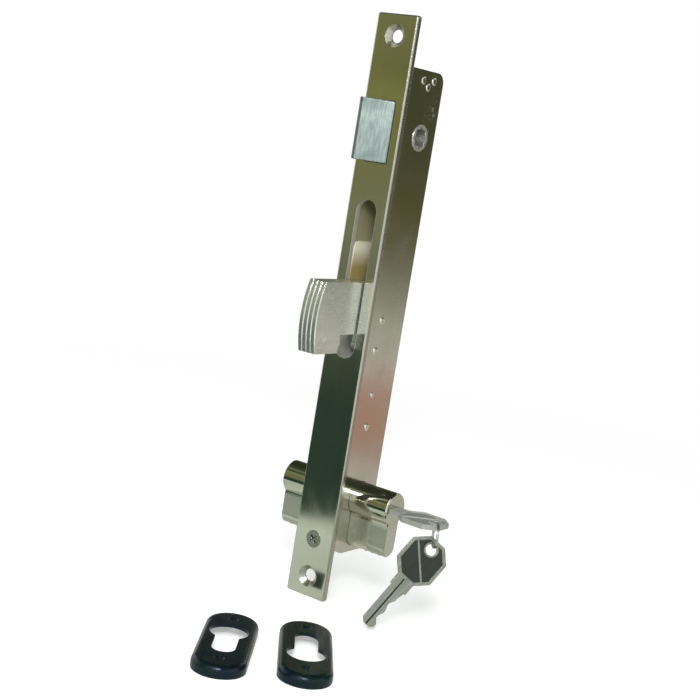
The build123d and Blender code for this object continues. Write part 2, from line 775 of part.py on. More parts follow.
plug_left = plug(-left_half, -1)
with plug_left:
    plate_along_x(keyway(-90), -left_half, -plug_end, Mode.SUBTRACT)
    with BuildSketch(Plane.XY.offset(cylinder_height)) as chambers:
        with Locations(*[(across, cylinder_back) for across in left_pin_places]):
            Circle(pin_radius + fit_gap)
    extrude(to_extrude=chambers.sketch, amount=-plug_rim_radius - overrun, mode=Mode.SUBTRACT)
plug_left.part.label = "plug_left"
export_step(plug_left.part, "parts/plug_left.step")

# Cam, pointing up and forwards at rest, with the coupler that turns it
coupler_places = (cylinder_back, cylinder_height)
with BuildPart() as cylinder_cam:
    with BuildSketch(Plane.YZ.offset(-cam_half)):
        with Locations(coupler_places):
            Circle(barrel_radius - fit_gap)
        with BuildSketch(mode=Mode.PRIVATE) as lever:
            with Locations((cylinder_back + cam_place[0] / 2, cylinder_height + cam_place[1] / 2)):
                Circle(cam_tip_radius * cam_root_share)
            with Locations((cylinder_back + cam_place[0], cylinder_height + cam_place[1])):
                Circle(cam_tip_radius)
            make_hull()
        add(lever.sketch)
        with Locations(coupler_places):
            Rectangle(coupler_length, coupler_width, mode=Mode.SUBTRACT)
    extrude(amount=2 * cam_half)
cylinder_cam.part.label = "cylinder_cam"
export_step(cylinder_cam.part, "parts/cylinder_cam.step")

with BuildPart() as cylinder_coupler:
    with BuildSketch(Plane.YZ.offset(plug_end - coupler_depth)):
        with Locations(coupler_places):
            Rectangle(coupler_length - 2 * fit_gap, coupler_width - 2 * fit_gap)
    extrude(amount=coupler_depth)
cylinder_coupler.part.label = "cylinder_coupler"
export_step(cylinder_coupler.part, "parts/cylinder_coupler.step")


def plug_clip(side, mouth_turn):
    # An open clip that snaps into a plug's groove
    groove = sorted((side * (plug_end + plate_gap / 2), side * (plug_end + plate_gap / 2 + clip_thickness)))
    inner = plug_radius - clip_groove_depth
    with BuildPart() as clip:
        with BuildSketch(Plane.YZ.offset(groove[0])) as ring:
            Circle(inner + clip_width)
            Circle(inner, mode=Mode.SUBTRACT)
            with Locations((0, -inner)):
                Rectangle(clip_mouth, 2 * clip_width, mode=Mode.SUBTRACT)
        turned = Location((0, cylinder_back, cylinder_height), (mouth_turn, 0, 0)) * ring.sketch
        extrude(to_extrude=turned, amount=clip_thickness)
    return clip


plug_clip_right = plug_clip(1, 0)
plug_clip_right.part.label = "plug_clip_right"
export_step(plug_clip_right.part, "parts/plug_clip_right.step")

plug_clip_left = plug_clip(-1, 180)
plug_clip_left.part.label = "plug_clip_left"
export_step(plug_clip_left.part, "parts/plug_clip_left.step")

# Pin tumblers: each stack is a key pin, a driver pin, a spring and a pressed cap
shear_height = cylinder_height - plug_radius - running_gap
cap_top = lug_bottom + chamber_cap_length
with BuildPart() as driver_pins_right:
    with BuildSketch(Plane.XY.offset(shear_height)):
        with Locations(*[(across, cylinder_back) for across in pin_places]):
            Circle(pin_radius)
    extrude(amount=-driver_length)
driver_pins_right.part.label = "driver_pins_right"
export_step(driver_pins_right.part, "parts/driver_pins_right.step")

with BuildPart() as driver_pins_left:
    with BuildSketch(Plane.XY.offset(shear_height + left_driver_rise)):
        with Locations(*[(across, cylinder_back) for across in left_pin_places]):
            Circle(pin_radius)
    extrude(amount=-driver_length)
driver_pins_left.part.label = "driver_pins_left"
export_step(driver_pins_left.part, "parts/driver_pins_left.step")

with BuildPart() as key_pins_right:
    for across, share in zip(pin_places, bitting_shares):
        tip = cylinder_back - blade_bit_side + share * bitting_depth
        with BuildSketch(Plane.XZ.offset(-tip + plate_gap / 2)) as disc:
            with Locations((across, cylinder_height)):
                Circle(pin_radius)
        reach = tip - plate_gap / 2 - cylinder_back + pin_end_reach
        extrude(to_extrude=disc.sketch, amount=reach)
    tips = key_pins_right.edges().filter_by(GeomType.CIRCLE)
    chamfer(tips.filter_by(lambda edge: edge.center().Y > cylinder_back - pin_end_reach + fit_gap), pin_chamfer)
key_pins_right.part.label = "key_pins_right"
export_step(key_pins_right.part, "parts/key_pins_right.step")

with BuildPart() as key_pins_left:
    for across, share in zip(left_pin_places, bitting_shares):
        low = shear_height + left_driver_rise
        with BuildSketch(Plane.XY.offset(low)) as disc:
            with Locations((across, cylinder_back)):
                Circle(pin_radius)
        extrude(to_extrude=disc.sketch, amount=plug_radius - blade_bit_side + share * bitting_depth)
    tips = key_pins_left.edges().filter_by(GeomType.CIRCLE)
    chamfer(tips.filter_by(lambda edge: edge.center().Z > low + fit_gap), pin_chamfer)
key_pins_left.part.label = "key_pins_left"
export_step(key_pins_left.part, "parts/key_pins_left.step")

with BuildPart() as pin_springs:
    for places, top in ((pin_places, shear_height), (left_pin_places, shear_height + left_driver_rise)):
        with BuildSketch(Plane.XY.offset(cap_top)) as rings:
            with Locations(*[(across, cylinder_back) for across in places]):
                Circle(spring_radius)
                Circle(spring_radius - spring_wall, mode=Mode.SUBTRACT)
        extrude(to_extrude=rings.sketch, amount=top - driver_length - cap_top)
pin_springs.part.label = "pin_springs"
export_step(pin_springs.part, "parts/pin_springs.step")

with BuildPart() as chamber_caps:
    with BuildSketch(Plane.XY.offset(lug_bottom)):
        with Locations(*[(across, cylinder_back) for across in pin_places + left_pin_places]):
            Circle(pin_radius + fit_gap)
    extrude(amount=chamber_cap_length)
chamber_caps.part.label = "chamber_caps"
export_step(chamber_caps.part, "parts/chamber_caps.step")


def cut_key(lie):
    # A key that lies in the given plane: its shoulder at the origin, its bow towards +x
    blade_low = -blade_bit_side
    edge = [(0, blade_low)]
    for number, share in enumerate(bitting_shares):
        middle = -first_pin - number * pin_pitch
        level = blade_low + share * bitting_depth
        edge.append((middle + bitting_flat / 2, level))
        edge.append((middle - bitting_flat / 2, level))
    tip_half = blade_width / 2 - blade_tip_cut
    blade_middle = blade_spine - blade_width / 2
    edge.append((-blade_length, blade_middle - tip_half))
    edge.append((-blade_length, blade_middle + tip_half))
    edge.append((blade_tip_cut - blade_length, blade_spine))
    edge.append((0, blade_spine))
    with BuildPart() as key:
        with BuildSketch(lie):
            with BuildLine():
                Polyline(*edge, close=True)
            make_face()
            with Locations((0, blade_middle)):
                Rectangle(neck_length + bow_rim, neck_width, align=(Align.MIN, Align.CENTER))
            with BuildSketch(mode=Mode.PRIVATE) as bow:
                with Locations((neck_length + bow_length / 2, blade_middle)):
                    Rectangle(bow_length, bow_width)
                chamfer(bow.vertices(), bow_corner_cut)
                fillet(bow.vertices(), bow_corner_radius)
            add(bow.sketch)
            with Locations((bow_hole_place, blade_middle)):
                Circle(bow_hole_radius, mode=Mode.SUBTRACT)
        extrude(amount=key_thickness / 2, both=True)
        for side in (-1, 1):
            with BuildSketch(lie.offset(side * (key_thickness / 2 - bow_recess))) as field:
                with Locations((neck_length + bow_length / 2, blade_middle)):
                    Rectangle(bow_length - 2 * bow_rim, bow_width - 2 * bow_rim)
                chamfer(field.vertices(), bow_corner_cut - bow_rim / 2)
                with Locations((neck_length + bow_length / 2 - bow_rim, blade_middle)):
                    Rectangle(2 * bow_width, bow_rib, rotation=side * bow_rib_angle, mode=Mode.SUBTRACT)
                with Locations((bow_hole_place, blade_middle)):
                    Circle(bow_hole_radius + bow_rib, mode=Mode.SUBTRACT)
            extrude(to_extrude=field.sketch, amount=side * (bow_recess + overrun), mode=Mode.SUBTRACT)
            with BuildSketch(lie.offset(side * (key_thickness / 2 - groove_depth))) as groove:
                with Locations((neck_length, blade_middle + side * groove_place)):
                    length = neck_length + blade_length + overrun
                    Rectangle(length, groove_width, align=(Align.MAX, Align.CENTER))
            extrude(to_extrude=groove.sketch, amount=side * (groove_depth + overrun), mode=Mode.SUBTRACT)
    return key


key_lie = Plane(origin=(right_half, cylinder_back, cylinder_height), x_dir=(1, 0, 0), z_dir=(0, 0, 1))
lock_key = cut_key(key_lie)
lock_key.part.label = "lock_key"
export_step(lock_key.part, "parts/lock_key.step")

# Ring: it passes through the bow's hole and hangs over the cut corner of the bow
yaw = math.radians(ring_yaw)
ring_outward = Vector(math.cos(yaw), -math.sin(yaw), 0)
ring_sideways = Vector(-math.sin(yaw), -math.cos(yaw), 0)
corner_reach = (bow_hole_inset + bow_width / 2 - bow_corner_cut) / math.sqrt(2)
bridge_half = (corner_reach - bow_hole_radius) / 2
ring_middle_radius = ring_inner_radius + ring_wire_radius
ring_sag = math.sqrt(ring_inner_radius**2 - bridge_half**2) - key_thickness / 2 - hang_gap
bow_middle = cylinder_back + blade_spine - blade_width / 2
bow_hole_centre = Vector(right_half + bow_hole_place, bow_middle, cylinder_height)
ring_centre = bow_hole_centre + ring_outward * (bow_hole_radius + bridge_half) - Vector(0, 0, ring_sag)
with BuildPart() as key_ring:
    wire_middle = ring_centre + ring_outward * ring_middle_radius
    wire_plane = Plane(origin=wire_middle, x_dir=ring_outward, z_dir=(0, 0, 1))
    with BuildSketch(wire_plane):
        Circle(ring_wire_radius)
    revolve(axis=Axis(ring_centre, ring_sideways))
key_ring.part.label = "key_ring"
export_step(key_ring.part, "parts/key_ring.step")

# Spare key: its hole rests on the ring's wire, and its tip leans on the surface below
tilt = math.radians(spare_tilt)
wire_point = ring_centre - Vector(0, 0, ring_middle_radius)
hang_offset = bow_hole_radius - ring_wire_radius - hole_side_gap
slope_to_tip = (wire_point.Z - foot - spare_tip_lift) / math.cos(tilt)
lean = math.atan2(spare_tip_aside, slope_to_tip)
down_slope = ring_outward * math.sin(tilt) - Vector(0, 0, math.cos(tilt))
towards_tip = down_slope * math.cos(lean) + ring_sideways * math.sin(lean)
spare_normal = ring_outward * math.cos(tilt) + Vector(0, 0, math.sin(tilt))
spare_origin = wire_point + towards_tip * (hang_offset + bow_hole_place)
spare_shift = (blade_spine - blade_width / 2) * spare_normal.cross(towards_tip * -1)
spare_lie = Plane(origin=spare_origin - spare_shift, x_dir=towards_tip * -1, z_dir=spare_normal)
spare_key = cut_key(spare_lie)
spare_key.part.label = "spare_key"
export_step(spare_key.part, "parts/spare_key.step")

# Latch head: a bevelled zinc block, with a shoulder that keeps it behind the faceplate
with BuildPart() as latch_head:
    with BuildSketch(Plane.XY.offset(latch_bottom)):
        with BuildLine():
            Polyline(
                (-latch_width / 2, latch_rear),
                (-latch_width / 2, front - latch_reach),
                (latch_nose - latch_width / 2, front - latch_reach),
                (latch_width / 2, front - latch_root),
                (latch_width / 2, latch_rear),
                close=True,
            )
        make_face()
    extrude(amount=latch_height)
    block_edges = latch_head.edges().filter_by(lambda edge: edge.center().Y < front + faceplate_edge_radius)
    fillet(block_edges, latch_edge_radius)
    with BuildSketch(Plane.XZ.offset(-latch_rear)):
        with Locations((0, latch_middle)):
            Rectangle(latch_width, latch_height + 2 * latch_shoulder)
    extrude(amount=latch_shoulder_length)
    with BuildSketch(Plane.XZ.offset(-latch_rear)):
        with Locations((0, spring_axis_height)):
            Circle(latch_spring_bore)
    extrude(amount=latch_spring_bore_depth, mode=Mode.SUBTRACT)
    with BuildSketch(Plane.XZ.offset(-latch_rear)):
        with Locations((0, spring_axis_height)):
            Circle(rod_radius + rod_hole_gap)
    extrude(amount=rod_hole_depth, mode=Mode.SUBTRACT)
    with BuildSketch(Plane.XZ.offset(-latch_rear)):
        with Locations((0, latch_middle - latch_height / 2 - latch_shoulder)):
            tongue_slot = tail_tongue_top + latch_shoulder
            Rectangle(tail_thickness, tongue_slot, align=(Align.CENTER, Align.MIN))
    extrude(amount=latch_shoulder_length, mode=Mode.SUBTRACT)
    with BuildSketch(Plane.XZ.offset(-latch_rear + latch_shoulder_length)):
        with Locations((0, latch_bottom + latch_nose / 2)):
            tongue_slot = tail_tongue_top - latch_nose / 2
            Rectangle(tail_thickness, tongue_slot, align=(Align.CENTER, Align.MIN))
    extrude(amount=tail_tongue_length - latch_shoulder_length, mode=Mode.SUBTRACT)
    latch_pin_place = (latch_pin_back, latch_bottom + latch_pin_rise)
    rod_along_x(latch_pin_place, latch_pin_radius, -latch_width / 2, latch_width / 2, Mode.SUBTRACT)
latch_head.part.label = "latch_head"
export_step(latch_head.part, "parts/latch_head.step")

# Latch tail: a strip behind the head, with a notch for the follower's arm
tail_top = latch_middle - tail_top_drop
tail_bottom = latch_middle - tail_bottom_drop
tongue_front = latch_rear - tail_tongue_length
notch_floor = latch_middle - arm_length - arm_radius - plate_gap
with BuildPart() as latch_tail:
    with BuildSketch(Plane.YZ.offset(-tail_thickness / 2)):
        with BuildLine():
            Polyline(
                (tongue_front, latch_bottom + latch_nose / 2),
                (latch_rear - latch_shoulder_length, latch_bottom + latch_nose / 2),
                (latch_rear - latch_shoulder_length, latch_bottom - latch_shoulder),
                (latch_rear, tail_bottom),
                (tail_end, tail_bottom),
                (tail_end, tail_top),
                (tail_notch_back + tail_notch_half, tail_top),
                (tail_notch_back + tail_notch_half, notch_floor),
                (tail_notch_back - tail_notch_half, notch_floor),
                (tail_notch_back - tail_notch_half, tail_top),
                (latch_rear + latch_shoulder, tail_top),
                (latch_rear, latch_bottom + tail_tongue_top),
                (tongue_front, latch_bottom + tail_tongue_top),
                close=True,
            )
        make_face()
    extrude(amount=tail_thickness)
    rod_along_x(latch_pin_place, latch_pin_radius, -tail_thickness / 2, tail_thickness / 2, Mode.SUBTRACT)
latch_tail.part.label = "latch_tail"
export_step(latch_tail.part, "parts/latch_tail.step")

with BuildPart() as latch_pin:
    rod_along_x(latch_pin_place, latch_pin_radius, -latch_width / 2, latch_width / 2)
latch_pin.part.label = "latch_pin"
export_step(latch_pin.part, "parts/latch_pin.step")

# Shelf under the latch tail
with BuildPart() as latch_guide:
    with BuildSketch(Plane.YZ.offset(-inner_half)):
        with Locations((latch_guide_front, tail_bottom)):
            depth = inner_back - latch_guide_front
            Rectangle(depth, latch_guide_thickness, align=(Align.MIN, Align.MAX))
    extrude(amount=2 * inner_half)
latch_guide.part.label = "latch_guide"
export_step(latch_guide.part, "parts/latch_guide.step")

# Bracket at the back of the case, with the rod that carries the latch spring
ear_front = inner_back - bracket_ear_length
with BuildPart() as spring_bracket:
    with BuildSketch(Plane.XY.offset(spring_axis_height - bracket_height / 2)):
        with Locations((-inner_half + bracket_thickness, spring_back)):
            back_width = 2 * inner_half - bracket_thickness
            Rectangle(back_width, bracket_thickness, align=(Align.MIN, Align.MIN))
        with Locations((inner_half - bracket_thickness, ear_front)):
            Rectangle(bracket_thickness, bracket_ear_length, align=(Align.MIN, Align.MIN))
    extrude(amount=bracket_height)
    for place in bracket_rivet_places:
        rod_along_x(place, bracket_rivet_radius, inner_half - bracket_thickness, inner_half, Mode.SUBTRACT)
    with BuildSketch(Plane.XZ.offset(-inner_back)):
        with Locations((0, spring_axis_height)):
            Circle(rod_radius)
    extrude(amount=bracket_thickness, mode=Mode.SUBTRACT)
spring_bracket.part.label = "spring_bracket"
export_step(spring_bracket.part, "parts/spring_bracket.step")

with BuildPart() as bracket_rivets:
    for place in bracket_rivet_places:
        rod_along_x(place, bracket_rivet_radius, inner_half - bracket_thickness, case_half)
bracket_rivets.part.label = "bracket_rivets"
export_step(bracket_rivets.part, "parts/bracket_rivets.step")

with BuildPart() as latch_spring_rod:
    with BuildSketch(Plane.XZ.offset(-inner_back)):
        with Locations((0, spring_axis_height)):
            Circle(rod_radius)
    extrude(amount=inner_back - rod_tip_back)
latch_spring_rod.part.label = "latch_spring_rod"
export_step(latch_spring_rod.part, "parts/latch_spring_rod.step")

# Latch spring: an unbroken wire, wound in quarter turns about the rod
spring_front = latch_rear - latch_spring_bore_depth + latch_wire_radius
spring_rear = spring_back - latch_wire_radius
spring_quarters = 4 * latch_spring_turns
spring_step = (spring_rear - spring_front) / spring_quarters


def spring_point(quarters):
    turn = math.radians(quarter_turn * quarters)
    across = latch_spring_radius * math.cos(turn)
    up = spring_axis_height + latch_spring_radius * math.sin(turn)
    return (across, spring_front + spring_step * quarters, up)


with BuildPart() as latch_spring:
    with BuildLine() as winding:
        for number in range(spring_quarters):
            ThreePointArc(spring_point(number), spring_point(number + 0.5), spring_point(number + 1))
    start_tangent = winding.edges().sort_by(Axis.Y)[0] % 0
    with BuildSketch(Plane(origin=spring_point(0), z_dir=start_tangent)):
        Circle(latch_wire_radius)
    sweep(path=winding.wires()[0])
latch_spring.part.label = "latch_spring"
export_step(latch_spring.part, "parts/latch_spring.step")
samples = [Vector(*spring_point(number / 4)) for number in range(4 * spring_quarters + 1)]
turn_ahead = samples[4 * 4:]
least = min((later - earlier).length for earlier, later in zip(samples, turn_ahead))
print("latch spring: least gap between turns", round(least - 2 * latch_wire_radius, 2), "mm")

# Follower: the hub that the handle's spindle turns, with an arm down to the latch tail
hub_place = (hub_back, latch_middle)
with BuildPart() as follower_hub:
    hub_reach = case_half + hub_face_rise
    rod_along_x(hub_place, hub_journal_radius, -hub_reach, hub_reach)
    rod_along_x(hub_place, hub_disc_radius, -hub_disc_half, hub_disc_half)
    with BuildSketch(Plane.YZ.offset(-arm_half)):
        with BuildSketch(mode=Mode.PRIVATE) as arm:
            with Locations(hub_place, (hub_back - arm_sway, latch_middle - arm_drop)):
                Circle(arm_radius)
            make_hull()
        add(arm.sketch)
    extrude(amount=2 * arm_half)
    with BuildSketch(Plane.YZ.offset(-hub_reach)):
        with Locations(hub_place):
            for turn in (0, 45):
                Rectangle(spindle_square, spindle_square, rotation=turn)
    extrude(amount=2 * hub_reach, mode=Mode.SUBTRACT)
follower_hub.part.label = "follower_hub"
export_step(follower_hub.part, "parts/follower_hub.step")


def escutcheon(place, turn):
    # A hollow domed cover with the cylinder's opening and two screw holes
    lie = Plane(Location((place[0], place[1], foot), (0, 0, turn)))
    spread = (lug_drop - barrel_radius) / 2
    with BuildPart() as cover:
        with BuildSketch(lie):
            SlotOverall(escutcheon_length, escutcheon_width, rotation=90)
        extrude(amount=escutcheon_height)
        top_edges = cover.faces().sort_by(Axis.Z)[-1].edges()
        fillet(top_edges, escutcheon_dome)
        with BuildSketch(lie):
            inner_length = escutcheon_length - 2 * escutcheon_skin
            SlotOverall(inner_length, escutcheon_width - 2 * escutcheon_skin, rotation=90)
        extrude(amount=escutcheon_height - escutcheon_skin, mode=Mode.SUBTRACT)
        with BuildSketch(lie):
            add(Location((0, spread)) * euro_profile(escutcheon_gap))
        extrude(amount=escutcheon_height, mode=Mode.SUBTRACT)
        with Locations(lie.offset(escutcheon_height)):
            with Locations((0, escutcheon_screw_spread), (0, -escutcheon_screw_spread)):
                CounterSinkHole(escutcheon_screw_radius, escutcheon_sink_radius, escutcheon_skin, sink_angle)
    return cover


right_escutcheon_place = (right_escutcheon_across, -right_escutcheon_forward)
escutcheon_right = escutcheon(right_escutcheon_place, right_escutcheon_angle)
escutcheon_right.part.label = "escutcheon_right"
export_step(escutcheon_right.part, "parts/escutcheon_right.step")

left_escutcheon_place = (left_escutcheon_across, -left_escutcheon_forward)
escutcheon_left = escutcheon(left_escutcheon_place, left_escutcheon_angle)
escutcheon_left.part.label = "escutcheon_left"
export_step(escutcheon_left.part, "parts/escutcheon_left.step")
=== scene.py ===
import json
import math

import bpy
from mathutils import Matrix, Vector


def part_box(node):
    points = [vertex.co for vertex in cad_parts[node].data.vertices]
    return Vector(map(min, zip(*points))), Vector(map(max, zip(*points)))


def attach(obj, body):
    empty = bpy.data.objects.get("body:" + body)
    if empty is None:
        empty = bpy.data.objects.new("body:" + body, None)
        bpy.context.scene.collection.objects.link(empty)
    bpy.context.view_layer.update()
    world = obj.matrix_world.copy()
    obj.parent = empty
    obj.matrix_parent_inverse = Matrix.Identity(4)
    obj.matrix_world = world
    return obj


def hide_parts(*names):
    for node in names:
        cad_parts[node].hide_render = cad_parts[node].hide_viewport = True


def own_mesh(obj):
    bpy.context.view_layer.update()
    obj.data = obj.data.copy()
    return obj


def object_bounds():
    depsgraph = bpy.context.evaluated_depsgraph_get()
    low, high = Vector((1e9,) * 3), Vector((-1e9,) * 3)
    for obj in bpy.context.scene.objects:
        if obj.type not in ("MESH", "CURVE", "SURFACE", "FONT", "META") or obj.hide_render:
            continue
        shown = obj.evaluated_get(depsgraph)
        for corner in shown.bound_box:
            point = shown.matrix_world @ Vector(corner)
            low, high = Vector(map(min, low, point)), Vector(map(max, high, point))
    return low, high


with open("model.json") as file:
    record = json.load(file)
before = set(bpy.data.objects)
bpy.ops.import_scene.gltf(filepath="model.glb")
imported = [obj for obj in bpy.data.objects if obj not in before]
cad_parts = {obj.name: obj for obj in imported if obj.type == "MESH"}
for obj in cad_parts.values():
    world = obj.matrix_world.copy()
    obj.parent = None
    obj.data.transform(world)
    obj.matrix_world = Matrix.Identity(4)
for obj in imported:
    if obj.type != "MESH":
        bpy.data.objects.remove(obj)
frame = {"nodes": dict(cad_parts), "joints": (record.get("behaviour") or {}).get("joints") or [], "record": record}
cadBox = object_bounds()
nodes = frame["nodes"]
joints = {joint["name"]: joint for joint in frame["joints"]}
scene = bpy.context.scene
scene.view_settings.view_transform = "Standard"
foot = cadBox[0][2]    # the faceplate's bottom end, where the floor lies
print("frame loaded", len(nodes), "nodes")


# small helpers for node trees

def feed(tree, socket, value):
    # a socket takes what another node puts out, or a value of its own
    if isinstance(value, bpy.types.NodeSocket):
        tree.links.new(value, socket)
    elif socket.type == "RGBA" and len(value) == 3:
        socket.default_value = (*value, 1)
    else:
        socket.default_value = value


def addNode(tree, kind, inputs=None, **settings):
    # settings are the node's own options, and inputs go by a socket's name or number
    node = tree.nodes.new(kind)
    for name, value in settings.items():
        setattr(node, name, value)
    for name, value in (inputs or {}).items():
        feed(tree, node.inputs[name], value)
    return node


def mathNode(tree, operation, *values, clamp=False):
    numbered = dict(enumerate(values))
    return addNode(tree, "ShaderNodeMath", numbered, operation=operation, use_clamp=clamp).outputs[0]


def mixColor(tree, factor, first, second):
    mixed = {0: factor, 6: first, 7: second}    # a Mix node's colours are its sockets 6 and 7
    return addNode(tree, "ShaderNodeMix", mixed, data_type="RGBA", clamp_factor=True).outputs[2]


def mixValue(tree, factor, first, second):
    mixed = {0: factor, 2: first, 3: second}    # its plain values are sockets 2 and 3
    return addNode(tree, "ShaderNodeMix", mixed, data_type="FLOAT").outputs[0]


def mapRange(tree, value, low, high, toLow=0.0, toHigh=1.0, curve="LINEAR"):
    ends = {"Value": value, "From Min": low, "From Max": high, "To Min": toLow, "To Max": toHigh}
    return addNode(tree, "ShaderNodeMapRange", ends, clamp=True, interpolation_type=curve).outputs["Result"]


def noise(tree, vector, scale, detail=2.0, roughness=0.5, distortion=0.0):
    texture = addNode(tree, "ShaderNodeTexNoise", {
        "Vector": vector, "Scale": scale, "Detail": detail, "Roughness": roughness, "Distortion": distortion})
    return texture.outputs["Fac"]


def vectorNode(tree, operation, first, second=None):
    inputs = {0: first} if second is None else {0: first, 1: second}
    node = addNode(tree, "ShaderNodeVectorMath", inputs, operation=operation)
    return node.outputs["Value" if operation in ("DOT_PRODUCT", "LENGTH") else "Vector"]


def splitVector(tree, vector):
    return addNode(tree, "ShaderNodeSeparateXYZ", {0: vector}).outputs


def joinVector(tree, **parts):
    return addNode(tree, "ShaderNodeCombineXYZ", parts).outputs[0]


def objectCoords(tree):
    return addNode(tree, "ShaderNodeTexCoord").outputs["Object"]


socketKinds = {int: "NodeSocketInt", float: "NodeSocketFloat", tuple: "NodeSocketVector"}


def addInputs(tree, inputs):
    # one named input for each starting value
    for title, start in inputs.items():
        socket = tree.interface.new_socket(title, in_out="INPUT", socket_type=socketKinds[type(start)])
        socket.default_value = start


def newGroup(name, inputs, outputs):
    tree = bpy.data.node_groups.new(name, "ShaderNodeTree")
    addInputs(tree, inputs)
    for title, kind in outputs.items():
        tree.interface.new_socket(title, in_out="OUTPUT", socket_type=socketKinds[kind])
    return tree, addNode(tree, "NodeGroupInput").outputs, addNode(tree, "NodeGroupOutput")


# groups that several finishes share

origin = (0, 0, 0)
grainLook = dict(fine=900.0, coarse=160.0, detail=3.0, roughness=0.65)


def makeGrainGroup():
    # fine drawn lines: noise squeezed across the line direction, two sizes of it
    tree, start, end = newGroup("drawn lines", {
        "Vector": origin, "Stretch": (1, 1, 1), "Fine": grainLook["fine"], "Coarse": grainLook["coarse"]},
        {"Lines": float, "Bands": float})
    squeezed = vectorNode(tree, "MULTIPLY", start["Vector"], start["Stretch"])
    for size, target in (("Fine", "Lines"), ("Coarse", "Bands")):
        grain = noise(tree, squeezed, start[size], grainLook["detail"], grainLook["roughness"])
        feed(tree, end.inputs[target], grain)
    return tree


markLook = dict(
    smears=dict(scale=45.0, detail=4.0, roughness=0.6, distortion=0.6, clear=0.42, full=0.68),
    pits=dict(scale=3200.0, detail=1.0, clear=0.68, full=0.76),
    scratches=dict(scale=5200.0, detail=0.0, clear=0.72, full=0.75,
                   turn=(0.5, 0.9, 0.3), drawn=(1.0, 0.02, 1.0)))


def makeHandlingGroup():
    # smears, small pits and hairline scratches from handling
    smears, pits, scratches = markLook["smears"], markLook["pits"], markLook["scratches"]
    tree, start, end = newGroup("handling marks", {
        "Vector": origin, "Smear Scale": smears["scale"], "Pit Scale": pits["scale"]},
        {"Smears": float, "Pits": float, "Scratches": float})
    smear = noise(tree, start["Vector"], start["Smear Scale"], smears["detail"], smears["roughness"],
                  smears["distortion"])
    pit = noise(tree, start["Vector"], start["Pit Scale"], pits["detail"])
    turned = addNode(tree, "ShaderNodeMapping", {
        "Vector": start["Vector"], "Rotation": scratches["turn"], "Scale": scratches["drawn"]})
    scratch = noise(tree, turned.outputs[0], scratches["scale"], scratches["detail"])
    masks = {"Smears": (smear, smears), "Pits": (pit, pits), "Scratches": (scratch, scratches)}
    for target, (pattern, look) in masks.items():
        feed(tree, end.inputs[target], mapRange(tree, pattern, look["clear"], look["full"]))
    return tree


edgeLook = dict(radius=0.0002, samples=6, unworn=0.99, worn=0.85)    # the last two are cosines


def makeEdgeGroup():
    # a rounded normal near sharp edges, and a mask that is 1 on the edge itself
    tree, start, end = newGroup("worn edge", {"Radius": edgeLook["radius"]}, {"Edge": float, "Normal": tuple})
    bevel = addNode(tree, "ShaderNodeBevel", {"Radius": start["Radius"]}, samples=edgeLook["samples"])
    rounded = bevel.outputs[0]
    plain = addNode(tree, "ShaderNodeNewGeometry").outputs["Normal"]
    likeness = vectorNode(tree, "DOT_PRODUCT", rounded, plain)
    feed(tree, end.inputs["Edge"], mapRange(tree, likeness, edgeLook["unworn"], edgeLook["worn"]))
    feed(tree, end.inputs["Normal"], rounded)
    return tree


recessDepth = 0.00105    # a key's faces lie farther than this from its middle plane


def makeDepthGroup():
    # 1 where a point lies nearer than a depth to a flat piece's middle plane
    tree, start, end = newGroup("sunk surface", {
        "Vector": origin, "Origin": origin, "Axis": (0, 0, 1), "Depth": recessDepth}, {"Sunk": float})
    offset = vectorNode(tree, "SUBTRACT", start["Vector"], start["Origin"])
    height = mathNode(tree, "ABSOLUTE", vectorNode(tree, "DOT_PRODUCT", offset, start["Axis"]))
    feed(tree, end.inputs["Sunk"], mathNode(tree, "LESS_THAN", height, start["Depth"]))
    return tree


def makeZoneGroup():
    # 1 inside an upright box
    tree, start, end = newGroup("box zone", {
        "Vector": origin, "Low": origin, "High": origin}, {"Inside": float})
    inside = None
    for first, second in (("Vector", "Low"), ("High", "Vector")):
        for axis in splitVector(tree, vectorNode(tree, "SUBTRACT", start[first], start[second])):
            beyond = mathNode(tree, "GREATER_THAN", axis, 0.0)
            inside = mathNode(tree, "MULTIPLY", inside, beyond) if inside else beyond
    feed(tree, end.inputs["Inside"], inside)
    return tree


grainGroup = makeGrainGroup()
handlingGroup = makeHandlingGroup()
edgeGroup = makeEdgeGroup()
depthGroup = makeDepthGroup()
zoneGroup = makeZoneGroup()


def placeGroup(tree, group, inputs):
    return addNode(tree, "ShaderNodeGroup", inputs, node_tree=group)


# finishes

def keyPlane(joint, along, up):
    # the middle plane of a key, through the place of its joint
    return dict(origin=tuple(joints[joint]["pos_m"]), up=tuple(up),
                turn=tuple(Matrix([along, up.cross(along), up]).to_euler()))


def hangingPlane(tilt, lean):
    # the spare key hangs tilted in the ring, with its tip swung aside
    outward = Vector(joints["spare_key_swing"]["axis"])
    sideways = Vector((outward.y, -outward.x, 0))
    upright = Vector((0, 0, 1))
    downSlope = outward * math.sin(tilt) - upright * math.cos(tilt)
    toTip = downSlope * math.cos(lean) + sideways * math.sin(lean)
    return keyPlane("spare_key_swing", -toTip, outward * math.cos(tilt) + upright * math.sin(tilt))


lockKeyPlane = keyPlane("key_turn", Vector((1, 0, 0)), Vector((0, 0, 1)))
spareKeyPlane = hangingPlane(tilt=math.radians(17), lean=math.radians(34.6))
farOut = 1.0    # beyond the lock on every side
plateBack, plateFront = -0.00004, -0.00296    # just inside the faceplate's two faces
milledFlat = dict(color=(0.40, 0.43, 0.35), rough=0.38, metal=0.8)

